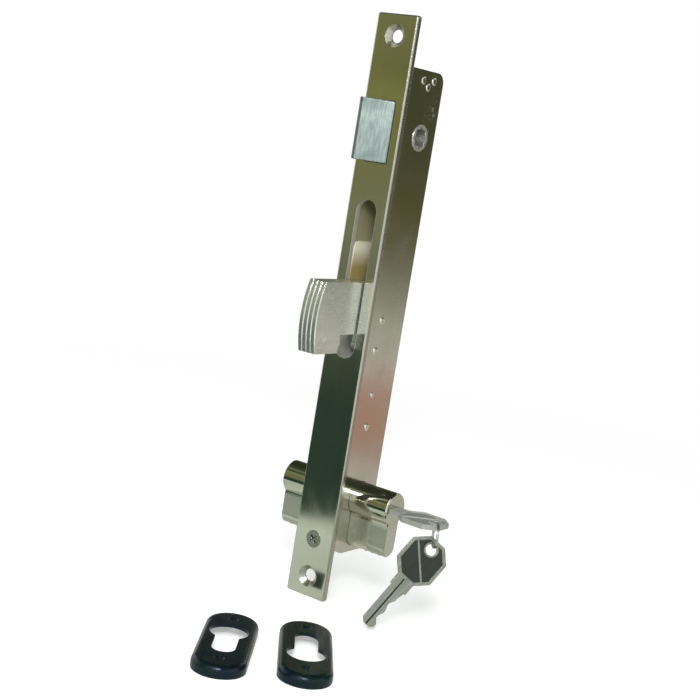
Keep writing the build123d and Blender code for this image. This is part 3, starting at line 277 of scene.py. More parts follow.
# color and shade are the plating's two tones, and rough swings by lines to either side
finishes = {
    "faceplateNickel": dict(
        color=(0.68, 0.69, 0.61), shade=(0.57, 0.58, 0.50), rough=0.11, lines=0.04,
        stretch=(1, 1, 0.02), bump=0.03, smear=0.05, edge=0.5,
        zones=dict(
            cutEdges=dict(low=(-farOut, plateFront, -farOut), high=(farOut, plateBack, farOut),
                          color=(0.40, 0.40, 0.34), rough=0.26, metal=0.95),
            slotWalls=dict(low=(-0.0062, plateFront, -0.045), high=(0.0062, 0.001, 0.060),
                           color=(0.66, 0.64, 0.58), rough=0.36, metal=0.45))),
    "caseNickel": dict(
        color=(0.64, 0.63, 0.56), shade=(0.52, 0.51, 0.45), rough=0.15, lines=0.05,
        stretch=(1, 1, 0.03), bump=0.04, smear=0.08, edge=0.35,
        zones=dict(inside=dict(low=(-0.00735, 0.0002, -0.11985), high=(0.00735, 0.03175, 0.11935),
                               color=(0.50, 0.48, 0.27), rough=0.36, metal=0.30))),
    "linerZinc": dict(
        color=(0.97, 0.96, 0.80), shade=(0.90, 0.87, 0.66), rough=0.34, lines=0.06,
        stretch=(1, 1, 0.05), bump=0.05, smear=0.06, edge=0.1, metal=0.05,
        # painted shade: from 31 mm down to 22 mm the liner turns a darker gold towards the bolt
        paintedShade=dict(start=0.031, end=0.022, color=(0.42, 0.34, 0.14)),
        # painted light: below -8 mm the liner is whitened, standing in for light that the bolt's shadow takes away
        zones=dict(paintedLightBelow=dict(low=(-farOut, -farOut, -farOut), high=(farOut, farOut, -0.008),
                                  color=(0.95, 0.97, 0.90), rough=0.34, metal=0.05))),
    "boltSteel": dict(
        color=(0.70, 0.73, 0.68), shade=(0.52, 0.55, 0.50), rough=0.20, metal=0.84, lines=0.06,
        stretch=(1, 0.06, 1), bump=0.04, smear=0.10, edge=0.6, streaks=0.15),
    "latchZinc": dict(
        color=(0.50, 0.58, 0.56), shade=(0.13, 0.175, 0.165), rough=0.30, lines=0.12,
        stretch=(1, 1, 0.10), bump=0.22, smear=0.26, edge=1.0, streaks=0.6, fine=1500.0, coarse=170.0,
        radius=0.0007),
    "cylinderNickel": dict(
        color=(0.62, 0.63, 0.54), shade=(0.52, 0.53, 0.44), rough=0.08, lines=0.03,
        stretch=(0.05, 1, 1), bump=0.02, smear=0.05, edge=0.4,
        zones=dict(
            lug=dict(low=(-farOut, -farOut, -farOut), high=(farOut, farOut, -0.1014),
                     color=(0.58, 0.60, 0.52), rough=0.20, metal=0.85),
            rightFlats=dict(low=(0.0209, 0.01385, -0.1172), high=(0.0308, 0.02335, -0.1025), **milledFlat),
            leftFlats=dict(low=(-0.0338, 0.01385, -0.1172), high=(-0.0209, 0.02335, -0.1025), **milledFlat))),
    "lockKeyNickel": dict(
        color=(0.84, 0.86, 0.81), shade=(0.60, 0.63, 0.57), rough=0.36, lines=0.08,
        stretch=(0.15, 1, 1), bump=0.10, smear=0.14, edge=0.9, metal=0.7, plane=lockKeyPlane, sunk=0.4),
    "spareKeyNickel": dict(
        color=(0.40, 0.43, 0.37), shade=(0.16, 0.185, 0.155), rough=0.20, lines=0.08,
        stretch=(0.04, 1, 1), bump=0.10, smear=0.12, edge=1.0, plane=spareKeyPlane, sunk=0.92, streaks=0.8,
        fine=1500.0, coarse=400.0),
    "ringSteel": dict(
        color=(0.66, 0.68, 0.62), shade=(0.45, 0.47, 0.42), rough=0.12, lines=0.04,
        stretch=(1, 1, 1), bump=0.02, smear=0.08, edge=0.3),
    "brightSteel": dict(
        color=(0.86, 0.88, 0.82), shade=(0.60, 0.62, 0.57), rough=0.14, lines=0.05,
        stretch=(1, 1, 1), bump=0.05, smear=0.10, edge=0.6),
    "screwSteel": dict(
        color=(0.36, 0.38, 0.34), shade=(0.20, 0.22, 0.19), rough=0.24, lines=0.08,
        stretch=(1, 1, 1), bump=0.10, smear=0.12, edge=0.9),
    "hubZinc": dict(
        color=(0.84, 0.86, 0.83), shade=(0.62, 0.64, 0.61), rough=0.24, lines=0.06,
        stretch=(1, 1, 1), bump=0.05, smear=0.12, edge=1.0, metal=0.8,
        # painted shade: the hub is darker between its two faces, in its hole and inside the case
        zones=dict(shadedSpindleHole=dict(low=(-0.00865, 0.0155, -farOut), high=(0.00865, 0.0241, farOut),
                                    color=(0.36, 0.37, 0.34), rough=0.25, metal=0.7))),
    "darkSteel": dict(
        color=(0.36, 0.36, 0.34), shade=(0.24, 0.24, 0.23), rough=0.34, lines=0.08,
        stretch=(1, 1, 0.1), bump=0.05, smear=0.10, edge=0.2),
    "springSteel": dict(
        color=(0.42, 0.43, 0.45), shade=(0.30, 0.30, 0.32), rough=0.28, lines=0.03,
        stretch=(1, 1, 1), bump=0.02, smear=0.06, edge=0.1),
    "turnedBrass": dict(
        color=(0.78, 0.62, 0.32), shade=(0.60, 0.45, 0.20), rough=0.22, lines=0.06,
        stretch=(1, 1, 0.2), bump=0.03, smear=0.08, edge=0.2),
    "castZinc": dict(
        color=(0.60, 0.62, 0.62), shade=(0.42, 0.43, 0.43), rough=0.36, lines=0.05,
        stretch=(1, 1, 1), bump=0.12, smear=0.14, edge=0.5),
}

# what every metal has where its own finish doesn't say otherwise
metalLook = dict(
    metal=1.0, fine=grainLook["fine"], coarse=grainLook["coarse"], radius=edgeLook["radius"],
    pitShare=0.5, edgeShare=1.5, recessShare=0.3,    # of shade, of color, and of the pits' colour
    bandTone=0.6, smearTone=3, pitTone=0.15,    # how far each pulls the colour, smearTone times smear
    streaksFrom=0.40, streaksTo=0.66, zoneFrom=0.2, zoneTo=0.6, zoneLeast=0.8,
    sunkRough=0.12, scratchRough=0.06, pitRelief=0.2, scratchRelief=0.3, relief=0.0003)


def emptyMaterial(name):
    material = bpy.data.materials.new(name)
    material.use_nodes = True
    tree = material.node_tree
    tree.nodes.clear()
    return material, tree, addNode(tree, "ShaderNodeOutputMaterial")


def newFinish(name, inputs):
    material, tree, output = emptyMaterial(name)
    shader = addNode(tree, "ShaderNodeBsdfPrincipled", inputs)
    feed(tree, output.inputs[0], shader.outputs[0])
    return material, tree, shader


def shareOf(color, share):
    return tuple(min(1.0, part * share) for part in color)


def metalFinish(name, ownLook):
    look = {**metalLook, **ownLook}
    material, tree, shader = newFinish(name, {"Metallic": look["metal"]})
    coords = lined = objectCoords(tree)
    if "plane" in look:
        # drawn lines that follow a key's own length
        turned = addNode(tree, "ShaderNodeMapping", {"Vector": coords, "Rotation": look["plane"]["turn"]})
        lined = turned.outputs[0]
    grain = placeGroup(tree, grainGroup, {
        "Vector": lined, "Stretch": look["stretch"], "Fine": look["fine"], "Coarse": look["coarse"]}).outputs
    marks = placeGroup(tree, handlingGroup, {"Vector": coords}).outputs
    edge = placeGroup(tree, edgeGroup, {"Radius": look["radius"]}).outputs

    # the plating is a little darker in the bands, smears and pits
    pitColor = shareOf(look["shade"], look["pitShare"])
    banded = mathNode(tree, "MULTIPLY", grain["Bands"], look["bandTone"])
    tone = mixColor(tree, banded, look["color"], look["shade"])
    if "streaks" in look:
        streaks = mapRange(tree, grain["Lines"], look["streaksFrom"], look["streaksTo"], 0.0, look["streaks"])
        tone = mixColor(tree, streaks, tone, look["shade"])
    smeared = mathNode(tree, "MULTIPLY", marks["Smears"], look["smear"] * look["smearTone"])
    tone = mixColor(tree, smeared, tone, look["shade"])
    tone = mixColor(tree, mathNode(tree, "MULTIPLY", marks["Pits"], look["pitTone"]), tone, pitColor)
    rough = mathNode(tree, "MULTIPLY_ADD", grain["Lines"], look["lines"] * 2, look["rough"] - look["lines"])
    # painted shade: darker towards the bottom, from the start height down to the end height
    if "paintedShade" in look:
        paintedShade = look["paintedShade"]
        paintedShadeShare = mapRange(tree, splitVector(tree, coords)["Z"], paintedShade["start"], paintedShade["end"])
        tone = mixColor(tree, paintedShadeShare, tone, paintedShade["color"])
    if "plane" in look:
        # a key's recesses and grooves keep the dark skin that its rubbed faces have lost
        sunk = placeGroup(tree, depthGroup, {
            "Vector": coords, "Origin": look["plane"]["origin"], "Axis": look["plane"]["up"]}).outputs["Sunk"]
        skin = shareOf(pitColor, look["recessShare"])
        tone = mixColor(tree, mathNode(tree, "MULTIPLY", sunk, look["sunk"]), tone, skin)
        rough = mathNode(tree, "ADD", rough, mathNode(tree, "MULTIPLY", sunk, look["sunkRough"]))
    metal = look["metal"]
    for zone in look.get("zones", {}).values():
        # an area with a finish of its own; two zones hold painted light and painted shade instead
        box = placeGroup(tree, zoneGroup, {"Vector": coords, "Low": zone["low"], "High": zone["high"]})
        inside = box.outputs["Inside"]
        strength = mapRange(tree, grain["Lines"], look["zoneFrom"], look["zoneTo"], 1.0, look["zoneLeast"])
        tone = mixColor(tree, mathNode(tree, "MULTIPLY", inside, strength), tone, zone["color"])
        rough = mixValue(tree, inside, rough, zone["rough"])
        metal = mixValue(tree, inside, metal, zone["metal"])
    feed(tree, shader.inputs["Metallic"], metal)
    rough = mathNode(tree, "ADD", rough, mathNode(tree, "MULTIPLY", marks["Smears"], look["smear"]))
    scratched = mathNode(tree, "MULTIPLY", marks["Scratches"], look["scratchRough"])
    feed(tree, shader.inputs["Roughness"], mathNode(tree, "ADD", rough, scratched, clamp=True))
    worn = mathNode(tree, "MULTIPLY", edge["Edge"], look["edge"])
    tone = mixColor(tree, worn, tone, shareOf(look["color"], look["edgeShare"]))
    feed(tree, shader.inputs["Base Color"], tone)

    # relief
    height = grain["Lines"]
    for mark, share in (("Pits", look["pitRelief"]), ("Scratches", look["scratchRelief"])):
        height = mathNode(tree, "SUBTRACT", height, mathNode(tree, "MULTIPLY", marks[mark], share))
    bump = addNode(tree, "ShaderNodeBump", {
        "Strength": look["bump"], "Distance": look["relief"], "Height": height, "Normal": edge["Normal"]})
    feed(tree, shader.inputs["Normal"], bump.outputs[0])
    return material


blackLook = dict(
    color=(0.003, 0.006, 0.014), tint=(0.002, 0.012, 0.008), dust=(0.07, 0.09, 0.10), dustShare=0.25,
    specular=(0.62, 0.82, 1.0), ior=1.40, rough=0.20, smearScale=60.0, smearRough=0.10,
    peelScale=1400.0, peelDetail=1.0, bump=0.06, relief=0.0003)


def blackFinish(name, look):
    # semi-gloss coating with a faint orange peel and specks of dust
    material, tree, shader = newFinish(name, {"IOR": look["ior"], "Specular Tint": look["specular"]})
    coords = objectCoords(tree)
    marks = placeGroup(tree, handlingGroup, {"Vector": coords, "Smear Scale": look["smearScale"]}).outputs
    tone = mixColor(tree, marks["Smears"], look["color"], look["tint"])
    dusty = mathNode(tree, "MULTIPLY", marks["Pits"], look["dustShare"])
    feed(tree, shader.inputs["Base Color"], mixColor(tree, dusty, tone, look["dust"]))
    rough = mathNode(tree, "MULTIPLY_ADD", marks["Smears"], look["smearRough"], look["rough"])
    feed(tree, shader.inputs["Roughness"], rough)
    peel = noise(tree, coords, look["peelScale"], look["peelDetail"])
    bump = addNode(tree, "ShaderNodeBump", {
        "Strength": look["bump"], "Distance": look["relief"], "Height": peel})
    feed(tree, shader.inputs["Normal"], bump.outputs[0])
    return material


materials = {name: metalFinish(name, look) for name, look in finishes.items()}
materials["blackCoat"] = blackFinish("blackCoat", blackLook)

slotFinish = {
    "faceplate_nickel": "faceplateNickel", "case_nickel": "caseNickel", "bolt_steel": "boltSteel",
    "latch_zinc": "latchZinc", "cylinder_nickel": "cylinderNickel", "key_nickel": "ringSteel",
    "dark_steel": "darkSteel", "spring_steel": "springSteel", "brass": "turnedBrass",
    "cast_zinc": "castZinc", "black_cover": "blackCoat",
}
# nodes whose finish differs from the rest of their slot
ownFinish = {
    "left_liner": "linerZinc", "right_liner": "linerZinc", "lock_key": "lockKeyNickel",
    "spare_key": "spareKeyNickel", "top_rivets": "brightSteel", "bracket_rivets": "brightSteel",
    "bolt_pivot_pin": "brightSteel", "bolt_stop_pin": "brightSteel", "lower_guide_pin": "brightSteel",
    "upper_guide_pin": "brightSteel", "bolt_rivets": "brightSteel", "follower_hub": "hubZinc",
    "cylinder_screw": "screwSteel",
}
for part in frame["record"]["subparts"]:
    mesh = nodes[part["node"]].data
    mesh.materials.clear()
    finish = ownFinish.get(part["node"], slotFinish[part["material_slot"]])
    mesh.materials.append(materials[finish])
print("finishes assigned")


# pieces that Geometry Nodes grow from a few numbers

def newGrowth(name, inputs):
    tree = bpy.data.node_groups.new(name, "GeometryNodeTree")
    tree.interface.new_socket("Geometry", in_out="INPUT", socket_type="NodeSocketGeometry")
    addInputs(tree, inputs)
    tree.interface.new_socket("Material", in_out="INPUT", socket_type="NodeSocketMaterial")
    tree.interface.new_socket("Geometry", in_out="OUTPUT", socket_type="NodeSocketGeometry")
    return tree, addNode(tree, "NodeGroupInput").outputs


def endGrowth(tree, start, grown):
    real = addNode(tree, "GeometryNodeRealizeInstances", {0: grown})
    coated = addNode(tree, "GeometryNodeSetMaterial", {
        "Geometry": real.outputs[0], "Material": start["Material"]})
    addNode(tree, "NodeGroupOutput", {"Geometry": coated.outputs[0]})
    return tree


def sweepWire(tree, curve, radius, sides):
    section = addNode(tree, "GeometryNodeCurvePrimitiveCircle", {"Resolution": sides, "Radius": radius})
    swept = addNode(tree, "GeometryNodeCurveToMesh", {
        "Curve": curve, "Profile Curve": section.outputs[0], "Fill Caps": True})
    return swept.outputs[0]


def movePoints(tree, geometry, spots):
    return addNode(tree, "GeometryNodeSetPosition", {"Geometry": geometry, "Position": spots}).outputs[0]


def pointPlaces(tree):
    return splitVector(tree, addNode(tree, "GeometryNodeInputPosition").outputs[0])


def transform(tree, geometry, inputs):
    return addNode(tree, "GeometryNodeTransform", {"Geometry": geometry, **inputs}).outputs[0]


def spreadCopies(tree, points, copied):
    return addNode(tree, "GeometryNodeInstanceOnPoints", {"Points": points, "Instance": copied}).outputs[0]


def growPiece(name, tree, points, values, body, replaced, matrix=None):
    base = bpy.data.meshes.new(name + "Start")
    base.from_pydata(points, [], [])
    piece = bpy.data.objects.new(name, base)
    scene.collection.objects.link(piece)
    growth = piece.modifiers.new("growth", "NODES")
    growth.node_group = tree
    for item in tree.interface.items_tree:
        if item.in_out == "INPUT" and item.name in values:
            growth[item.identifier] = values[item.name]
    piece.update_tag()
    graph = bpy.context.evaluated_depsgraph_get()
    mesh = bpy.data.meshes.new_from_object(piece.evaluated_get(graph))
    piece.modifiers.remove(growth)
    if matrix:
        mesh.transform(matrix)
    piece.data = mesh
    mesh.name = name
    bpy.data.meshes.remove(base)
    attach(piece, body)
    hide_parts(*replaced)
    print(name, len(mesh.polygons), "faces")
    return piece


ringLook = dict(radius=0.0062, wire=0.00033, rise=0.00072, turns=2.0, start=2.2, points=150, sides=10,
                middle=0.5, step=0.05)    # shares of the wire's length, where it changes level


def makeRingTree():
    # two flat turns of wire that change level over a short step, as a split key ring has
    tree, start = newGrowth("split ring", {
        "Radius": ringLook["radius"], "Wire": ringLook["wire"], "Rise": ringLook["rise"],
        "Step": ringLook["step"], "Turns": ringLook["turns"]})
    line = addNode(tree, "GeometryNodeCurvePrimitiveLine", {"End": (1, 0, 0)})
    spaced = addNode(tree, "GeometryNodeResampleCurve", {
        "Curve": line.outputs[0], "Count": ringLook["points"]})
    share = pointPlaces(tree)["X"]
    before = mathNode(tree, "SUBTRACT", ringLook["middle"], start["Step"])
    after = mathNode(tree, "ADD", ringLook["middle"], start["Step"])
    level = mapRange(tree, share, before, after, -0.5, 0.5, curve="SMOOTHSTEP")
    turn = mathNode(tree, "MULTIPLY", mathNode(tree, "MULTIPLY", share, start["Turns"]), 2 * math.pi)
    spots = joinVector(tree,
                       X=mathNode(tree, "MULTIPLY", mathNode(tree, "COSINE", turn), start["Radius"]),
                       Y=mathNode(tree, "MULTIPLY", mathNode(tree, "SINE", turn), start["Radius"]),
                       Z=mathNode(tree, "MULTIPLY", level, start["Rise"]))
    wound = movePoints(tree, spaced.outputs[0], spots)
    return endGrowth(tree, start, sweepWire(tree, wound, start["Wire"], ringLook["sides"]))


# the spare key hangs from the lowest point of the ring
ringFoot = joints["spare_key_swing"]
outward = Vector(ringFoot["axis"])
sideways = Vector((outward.y, -outward.x, 0))
ringAxes = Matrix((outward, outward.cross(sideways), sideways)).transposed().to_4x4()
ringCenter = Vector(ringFoot["pos_m"]) + Vector((0, 0, ringLook["radius"]))
growPiece("split_ring", makeRingTree(), [origin],
          {"Radius": ringLook["radius"], "Wire": ringLook["wire"], "Rise": ringLook["rise"],
           "Step": ringLook["step"], "Turns": ringLook["turns"], "Material": materials["ringSteel"]},
          "ring", ["key_ring"],
          Matrix.Translation(ringCenter) @ ringAxes @ Matrix.Rotation(ringLook["start"], 4, "Z"))

springLook = dict(turns=9.0, points=14, sides=6)    # points are those of one turn
# without a key, the left half's drivers stand higher, and so do its springs
pinSprings = dict(count=5, pitch=0.0039, radius=0.00092, wire=0.00018, leftRise=0.0016)
# the latch spring gives way as the latch goes in, but the grown coil stays as it is and its travel is not read
latchSpring = dict(wire=0.0003, travel=joints["latch_slide"]["range_m"][1])


def makeSpringTree():
    # a row of equal coil springs along X
    tree, start = newGrowth("spring row", {
        "Count": 1, "First": origin, "Pitch": pinSprings["pitch"], "Height": 0.01,
        "Radius": pinSprings["radius"], "Wire": pinSprings["wire"], "Turns": springLook["turns"]})
    coil = addNode(tree, "GeometryNodeCurveSpiral", {
        "Resolution": springLook["points"], "Rotations": start["Turns"], "Height": start["Height"],
        "Start Radius": start["Radius"], "End Radius": start["Radius"]})
    spring = sweepWire(tree, coil.outputs[0], start["Wire"], springLook["sides"])
    row = addNode(tree, "GeometryNodeMeshLine", {
        "Count": start["Count"], "Start Location": start["First"],
        "Offset": joinVector(tree, X=start["Pitch"])})
    return endGrowth(tree, start, spreadCopies(tree, row.outputs[0], spring))


low, high = (Vector(corner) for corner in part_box("pin_springs"))
springReach = pinSprings["radius"] + pinSprings["wire"]
leftHeight = high.z - low.z - 2 * pinSprings["wire"]
rightFirst = high.x - springReach - (pinSprings["count"] - 1) * pinSprings["pitch"]
springTree = makeSpringTree()
for side, first, height in (("right", rightFirst, leftHeight - pinSprings["leftRise"]),
                            ("left", low.x + springReach, leftHeight)):
    growPiece("pin_springs_" + side, springTree, [origin],
              {"Count": pinSprings["count"], "Pitch": pinSprings["pitch"],
               "First": (first, (low.y + high.y) / 2, low.z + pinSprings["wire"]),
               "Height": height, "Radius": pinSprings["radius"], "Wire": pinSprings["wire"],
               "Turns": springLook["turns"], "Material": materials["springSteel"]},
              "lock", ["pin_springs"])

low, high = (Vector(corner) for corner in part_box("latch_spring"))
springLength = high.y - low.y
springSeat = Vector(((low.x + high.x) / 2, low.y + latchSpring["wire"], (low.z + high.z) / 2))
springPiece = growPiece(
    "latch_spring_coil", springTree, [origin],
    {"Count": 1, "First": origin, "Height": springLength - 2 * latchSpring["wire"],
     "Radius": (high.z - low.z) / 2 - latchSpring["wire"], "Wire": latchSpring["wire"],
     "Turns": springLook["turns"], "Material": materials["springSteel"]},
    "lock", ["latch_spring"],
    Matrix.Translation(springSeat) @ Matrix.Rotation(-math.pi / 2, 4, "X"))
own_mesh(springPiece)

rivetLook = dict(bodyLength=0.0146, seat=0.0085, height=0.00055, sides=28, rings=16,
                 dimple=0.35, dimpleRim=0.5, dimpleFloor=0.1)    # the dimple's sizes are shares of the head's
rivets = {    # places are in y and z, body, end and head are radii
    "top_rivets": dict(places=((0.0150, 0.1155), (0.0243, 0.1161), (0.0198, 0.1127)),
                       body=0.0013, end=0.0013, head=0.0020),
    "bolt_pivot_pin": dict(places=((0.0133, -0.0020),), body=0.0030, end=0.0015, head=0.0020),
    "bolt_stop_pin": dict(places=((0.0117, -0.0171),), body=0.0022, end=0.0015, head=0.0020),
    "lower_guide_pin": dict(places=((0.0151, -0.0560),), body=0.0018, end=0.0015, head=0.0020),
    "upper_guide_pin": dict(places=((0.0151, -0.0395),), body=0.0018, end=0.0015, head=0.0015),
}


def makeRivetTree():
    # pins along X, one at each starting point: body, thinner ends, and peened heads with a dimple
    tree, start = newGrowth("riveted pins", {
        "Body Radius": 0.002, "Body Length": rivetLook["bodyLength"], "End Radius": 0.0015,
        "Head Seat": rivetLook["seat"], "Head Radius": 0.002, "Head Height": rivetLook["height"],
        "Dimple": rivetLook["dimple"]})
    alongX = {"Rotation": (0, math.pi / 2, 0)}
    parts = addNode(tree, "GeometryNodeJoinGeometry")
    reach = mathNode(tree, "MULTIPLY", start["Head Seat"], 2.01)    # the ends sink a little into both heads
    for radius, length in ((start["Body Radius"], start["Body Length"]), (start["End Radius"], reach)):
        rod = addNode(tree, "GeometryNodeMeshCylinder", {
            "Vertices": rivetLook["sides"], "Radius": radius, "Depth": length})
        feed(tree, parts.inputs[0], transform(tree, rod.outputs["Mesh"], alongX))
    ball = addNode(tree, "GeometryNodeMeshUVSphere", {
        "Segments": rivetLook["sides"], "Rings": rivetLook["rings"], "Radius": 1.0})
    aimed = transform(tree, ball.outputs["Mesh"], alongX)
    spot = pointPlaces(tree)
    squares = [mathNode(tree, "POWER", spot[axis], 2.0) for axis in ("Y", "Z")]
    away = mathNode(tree, "SQRT", mathNode(tree, "ADD", *squares))
    sink = mathNode(tree, "MULTIPLY", mapRange(tree, away, rivetLook["dimpleRim"], rivetLook["dimpleFloor"]),
                    start["Dimple"])
    domed = mathNode(tree, "MAXIMUM", mathNode(tree, "SUBTRACT", spot["X"], sink), 0.0)
    pressed = movePoints(tree, aimed, joinVector(tree, X=domed, Y=spot["Y"], Z=spot["Z"]))
    smooth = addNode(tree, "GeometryNodeSetShadeSmooth", {"Geometry": pressed})
    headSize = joinVector(tree, X=start["Head Height"], Y=start["Head Radius"], Z=start["Head Radius"])
    seat = joinVector(tree, X=start["Head Seat"])
    head = transform(tree, smooth.outputs[0], {"Scale": headSize, "Translation": seat})
    feed(tree, parts.inputs[0], head)
    feed(tree, parts.inputs[0], transform(tree, head, {"Rotation": (0, 0, math.pi)}))
    return endGrowth(tree, start, spreadCopies(tree, start["Geometry"], parts.outputs[0]))


rivetTree = makeRivetTree()
for node, rivet in rivets.items():
    growPiece(node + "_peened", rivetTree, [(0, *spot) for spot in rivet["places"]],
              {"Body Radius": rivet["body"], "Body Length": rivetLook["bodyLength"],
               "End Radius": rivet["end"], "Head Seat": rivetLook["seat"],
               "Head Radius": rivet["head"], "Head Height": rivetLook["height"],
               "Dimple": rivetLook["dimple"], "Material": materials["brightSteel"]},
              "lock", [node])
print("grown pieces ready")


# surroundings: white all round, a pale floor, and cards that only reflections show

studio = dict(light=(0.50, 0.51, 0.50), white=(1.0, 1.0, 1.0), floorHalf=3.0, floorColor=(0.88, 0.89, 0.88),
              floorGlow=0.36, fadeStart=0.25, fadeEnd=0.75)


def seenBackdrop(tree):
    # 1 for the camera, for mirrors and for glass, 0 for the light that falls on things
    rays = addNode(tree, "ShaderNodeLightPath").outputs
    seen = mathNode(tree, "MAXIMUM", rays["Is Camera Ray"], rays["Is Glossy Ray"])
    return mathNode(tree, "MAXIMUM", seen, rays["Is Transmission Ray"])


def newSheet(name, corners):
    mesh = bpy.data.meshes.new(name)
    mesh.from_pydata(corners, [], [(0, 1, 2, 3)])
    sheet = bpy.data.objects.new(name, mesh)
    scene.collection.objects.link(sheet)
    return sheet


def levelCorners(left, right, near, far, height):
    return [(left, near, height), (right, near, height), (right, far, height), (left, far, height)]


def mixShader(tree, factor, first, second):
    return addNode(tree, "ShaderNodeMixShader", {0: factor, 1: first, 2: second}).outputs[0]


def makeWorld():
    world = bpy.data.worlds.new("studio")
    scene.world = world
    world.use_nodes = True
    tree = world.node_tree
    tree.nodes.clear()
    color = mixColor(tree, seenBackdrop(tree), studio["light"], studio["white"])
    background = addNode(tree, "ShaderNodeBackground", {"Color": color})
    addNode(tree, "ShaderNodeOutputWorld", {0: background.outputs[0]})


def makeFloor():
    half = studio["floorHalf"]
    floor = newSheet("floor", levelCorners(-half, half, -half, half, foot))
    material, tree, output = emptyMaterial("paleFloor")
    shadowed = addNode(tree, "ShaderNodeBsdfDiffuse", {"Color": studio["floorColor"]}).outputs[0]
    glow = addNode(tree, "ShaderNodeEmission", {"Strength": studio["floorGlow"]})
    lit = addNode(tree, "ShaderNodeAddShader", {0: shadowed, 1: glow.outputs[0]}).outputs[0]
    # far out, the seen floor is as white as the backdrop
    distance = vectorNode(tree, "LENGTH", objectCoords(tree))
    far = mapRange(tree, distance, studio["fadeStart"], studio["fadeEnd"])
    white = addNode(tree, "ShaderNodeEmission", {"Strength": 1.0}).outputs[0]
    seenFloor = mixShader(tree, far, lit, white)
    feed(tree, output.inputs[0], mixShader(tree, seenBackdrop(tree), shadowed, seenFloor))
    floor.data.materials.append(material)


cardLook = dict(lift=0.0005, mottle=14.0, detail=3.0, roughness=0.6, dull=0.3, bright=0.7, mottled=0.25)


def addCard(name, corners, stops, mottled=cardLook["mottled"]):
    # a card that only reflections show, coloured from its first edge to the opposite one
    card = newSheet(name, corners)
    card.visible_camera = False
    card.visible_diffuse = False
    card.visible_shadow = False
    edgeMap = card.data.uv_layers.new(name="across")
    for loop, spot in zip(edgeMap.data, ((0, 0), (1, 0), (1, 1), (0, 1))):
        loop.uv = spot
    material, tree, output = emptyMaterial(name)
    across = splitVector(tree, addNode(tree, "ShaderNodeTexCoord").outputs["UV"])["Y"]
    ramp = addNode(tree, "ShaderNodeValToRGB", {0: across})
    elements = ramp.color_ramp.elements
    while len(elements) < len(stops):
        elements.new(stops[len(elements)][0])
    for element, (position, color) in zip(elements, stops):
        element.position = position
        element.color = (*color, 1)
    cloud = noise(tree, objectCoords(tree), cardLook["mottle"], cardLook["detail"], cardLook["roughness"])
    strength = mapRange(tree, cloud, cardLook["dull"], cardLook["bright"], 1 - mottled, 1 + mottled)
    glow = addNode(tree, "ShaderNodeEmission", {"Color": ramp.outputs[0], "Strength": strength})
    feed(tree, output.inputs[0], glow.outputs[0])
    card.data.materials.append(material)


def standing(towards, distance, width, low, high):
    # an upright card's corners: towards is a level direction from the lock, low and high are above the floor
    side = Vector((towards[1], -towards[0])) * width / 2
    left, right = (Vector(towards) * distance + way * side for way in (-1, 1))
    return [(*left, foot + low), (*right, foot + low), (*right, foot + high), (*left, foot + high)]


def lying(towards, near, far, width):
    # the corners of a card on the floor
    side = Vector((towards[1], -towards[0])) * width / 2
    start, end = Vector(towards) * near, Vector(towards) * far
    return [(*spot, foot + cardLook["lift"]) for spot in (start - side, start + side, end + side, end - side)]


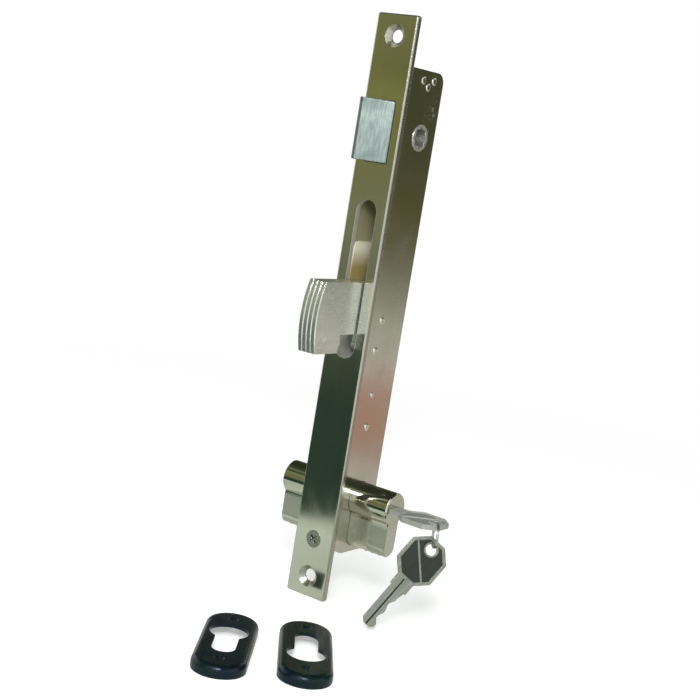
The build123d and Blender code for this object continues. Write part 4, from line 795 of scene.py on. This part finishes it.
frontSide = (-0.560, -0.828)   # where the faceplate's mirror image of the camera looks
rearSide = (0.560, 0.828)      # the same for the case's right wall
behind = (-0.610, 0.792)       # the same for what faces upwards
lensSide = (0.560, -0.828)     # the same for what faces the camera
besideHole = [(-0.0073, -0.0152), (0.0015, -0.0152), (-0.0125, -0.0380), (-0.0225, -0.0380)]
cards = {
    "paleMat": dict(
        corners=lying(frontSide, near=0.0, far=0.146, width=0.60), mottled=0.08,
        stops=[(0.0, (0.62, 0.66, 0.58)), (1.0, (0.66, 0.72, 0.62))]),
    "greenMat": dict(
        corners=lying(frontSide, near=0.146, far=0.95, width=0.60),
        stops=[(0.0, (0.035, 0.065, 0.04)), (0.1, (0.030, 0.058, 0.038)), (0.45, (0.033, 0.058, 0.04)),
               (0.85, (0.055, 0.08, 0.052)), (1.0, (0.085, 0.10, 0.065))]),
    "oliveCard": dict(
        corners=standing(frontSide, distance=0.95, width=0.60, low=0.0, high=0.62),
        stops=[(0.0, (0.085, 0.10, 0.065)), (0.08, (0.19, 0.20, 0.14)), (0.22, (0.235, 0.25, 0.16)),
               (0.32, (0.235, 0.23, 0.10)), (0.44, (0.21, 0.20, 0.065)), (0.47, (0.33, 0.32, 0.12)),
               (0.505, (0.13, 0.125, 0.035)), (0.54, (0.26, 0.26, 0.12)), (0.57, (0.21, 0.205, 0.07)),
               (0.65, (0.24, 0.25, 0.12)), (1.0, (0.30, 0.34, 0.19))]),
    "shelfCard": dict(
        corners=standing(frontSide, distance=0.95, width=0.80, low=0.62, high=1.10),
        stops=[(0.0, (0.10, 0.12, 0.05)), (1.0, (0.04, 0.05, 0.02))]),
    "darkCard": dict(
        corners=standing(rearSide, distance=0.77, width=0.80, low=0.0, high=0.50), mottled=0.1,
        stops=[(0.0, (0.54, 0.55, 0.49)), (0.06, (0.60, 0.61, 0.54)), (0.12, (0.44, 0.45, 0.37)),
               (0.18, (0.26, 0.27, 0.20)), (0.25, (0.16, 0.145, 0.08)), (0.34, (0.115, 0.11, 0.042)),
               (0.45, (0.08, 0.085, 0.042)), (1.0, (0.066, 0.075, 0.04))]),
    "warmMat": dict(
        corners=lying(rearSide, near=0.0, far=0.72, width=0.50), mottled=0.1,
        stops=[(0.0, (0.60, 0.60, 0.54)), (0.40, (0.58, 0.56, 0.50)), (0.52, (0.52, 0.33, 0.26)),
               (0.92, (0.55, 0.28, 0.21)), (1.0, (0.56, 0.52, 0.46))]),
    "backCard": dict(
        corners=standing(behind, distance=0.80, width=0.90, low=0.05, high=0.75),
        stops=[(0.0, (0.80, 0.82, 0.76)), (0.15, (0.42, 0.44, 0.36)), (0.3, (0.06, 0.07, 0.035)),
               (1.0, (0.03, 0.04, 0.018))]),
    "paperCard": dict(
        corners=standing(lensSide, distance=0.80, width=0.70, low=0.0, high=0.22), mottled=0.0,
        stops=[(0.0, (1.15, 1.17, 1.12)), (0.25, (1.1, 1.12, 1.08)), (0.4, (0.96, 0.98, 0.96)),
               (1.0, (0.90, 0.93, 0.91))]),
    "hoodCard": dict(
        corners=standing(lensSide, distance=0.80, width=1.10, low=0.46, high=1.15),
        stops=[(0.0, (0.06, 0.075, 0.035)), (0.3, (0.05, 0.06, 0.03)), (0.5, (0.18, 0.21, 0.14)),
               (1.0, (0.18, 0.20, 0.14))]),
    "nearCard": dict(    # what the faceplate mirrors beside its lower hole
        corners=[(*spot, foot + 2 * cardLook["lift"]) for spot in besideHole], mottled=0.0,
        stops=[(0.0, (0.03, 0.05, 0.03)), (1.0, (0.02, 0.035, 0.02))]),
    "ceilingCard": dict(
        corners=levelCorners(left=-1.2, right=1.0, near=1.2, far=-0.75, height=foot + 0.95),
        stops=[(0.0, (0.03, 0.035, 0.016)), (0.60, (0.035, 0.045, 0.02)), (0.76, (0.06, 0.075, 0.035)),
               (0.85, (0.20, 0.23, 0.15)), (1.0, (0.20, 0.22, 0.15))]),
}
lamps = {
    "key": dict(place=(0.26, -0.62, 0.70), size=0.5, power=2.6),
    "top": dict(place=(-0.30, -0.30, 1.0), size=0.8, power=1.8),
    "flash": dict(place=(0.36, -0.53, 0.34), size=0.15, power=2.2),
}


def addLamp(name, place, size, power):
    # a square lamp that points at the middle of the lock
    lamp = bpy.data.lights.new(name, "AREA")
    lamp.energy = power
    lamp.size = size
    holder = bpy.data.objects.new(name, lamp)
    scene.collection.objects.link(holder)
    holder.location = place
    holder.rotation_euler = (-Vector(place)).to_track_quat("-Z", "Y").to_euler()


makeWorld()
makeFloor()
for name, card in cards.items():
    addCard(name, **card)
for name, lamp in lamps.items():
    addLamp(name, **lamp)
print("studio ready")

# camera, fitted to the photograph, with its turn in degrees

cameraView = dict(place=(0.3719965, -0.5480810, 0.0798895), turn=(81.490262, -9.122795, 35.420132),
                  lens=70.609, sensor=36.0, nearest=0.01)
camera = bpy.data.cameras.new("camera")
camera.sensor_fit = "HORIZONTAL"
camera.sensor_width = cameraView["sensor"]
camera.lens = cameraView["lens"]
camera.clip_start = cameraView["nearest"]
cameraObject = bpy.data.objects.new("camera", camera)
scene.collection.objects.link(cameraObject)
cameraObject.location = cameraView["place"]
cameraObject.rotation_euler = [math.radians(angle) for angle in cameraView["turn"]]
scene.camera = cameraObject
print("camera set")
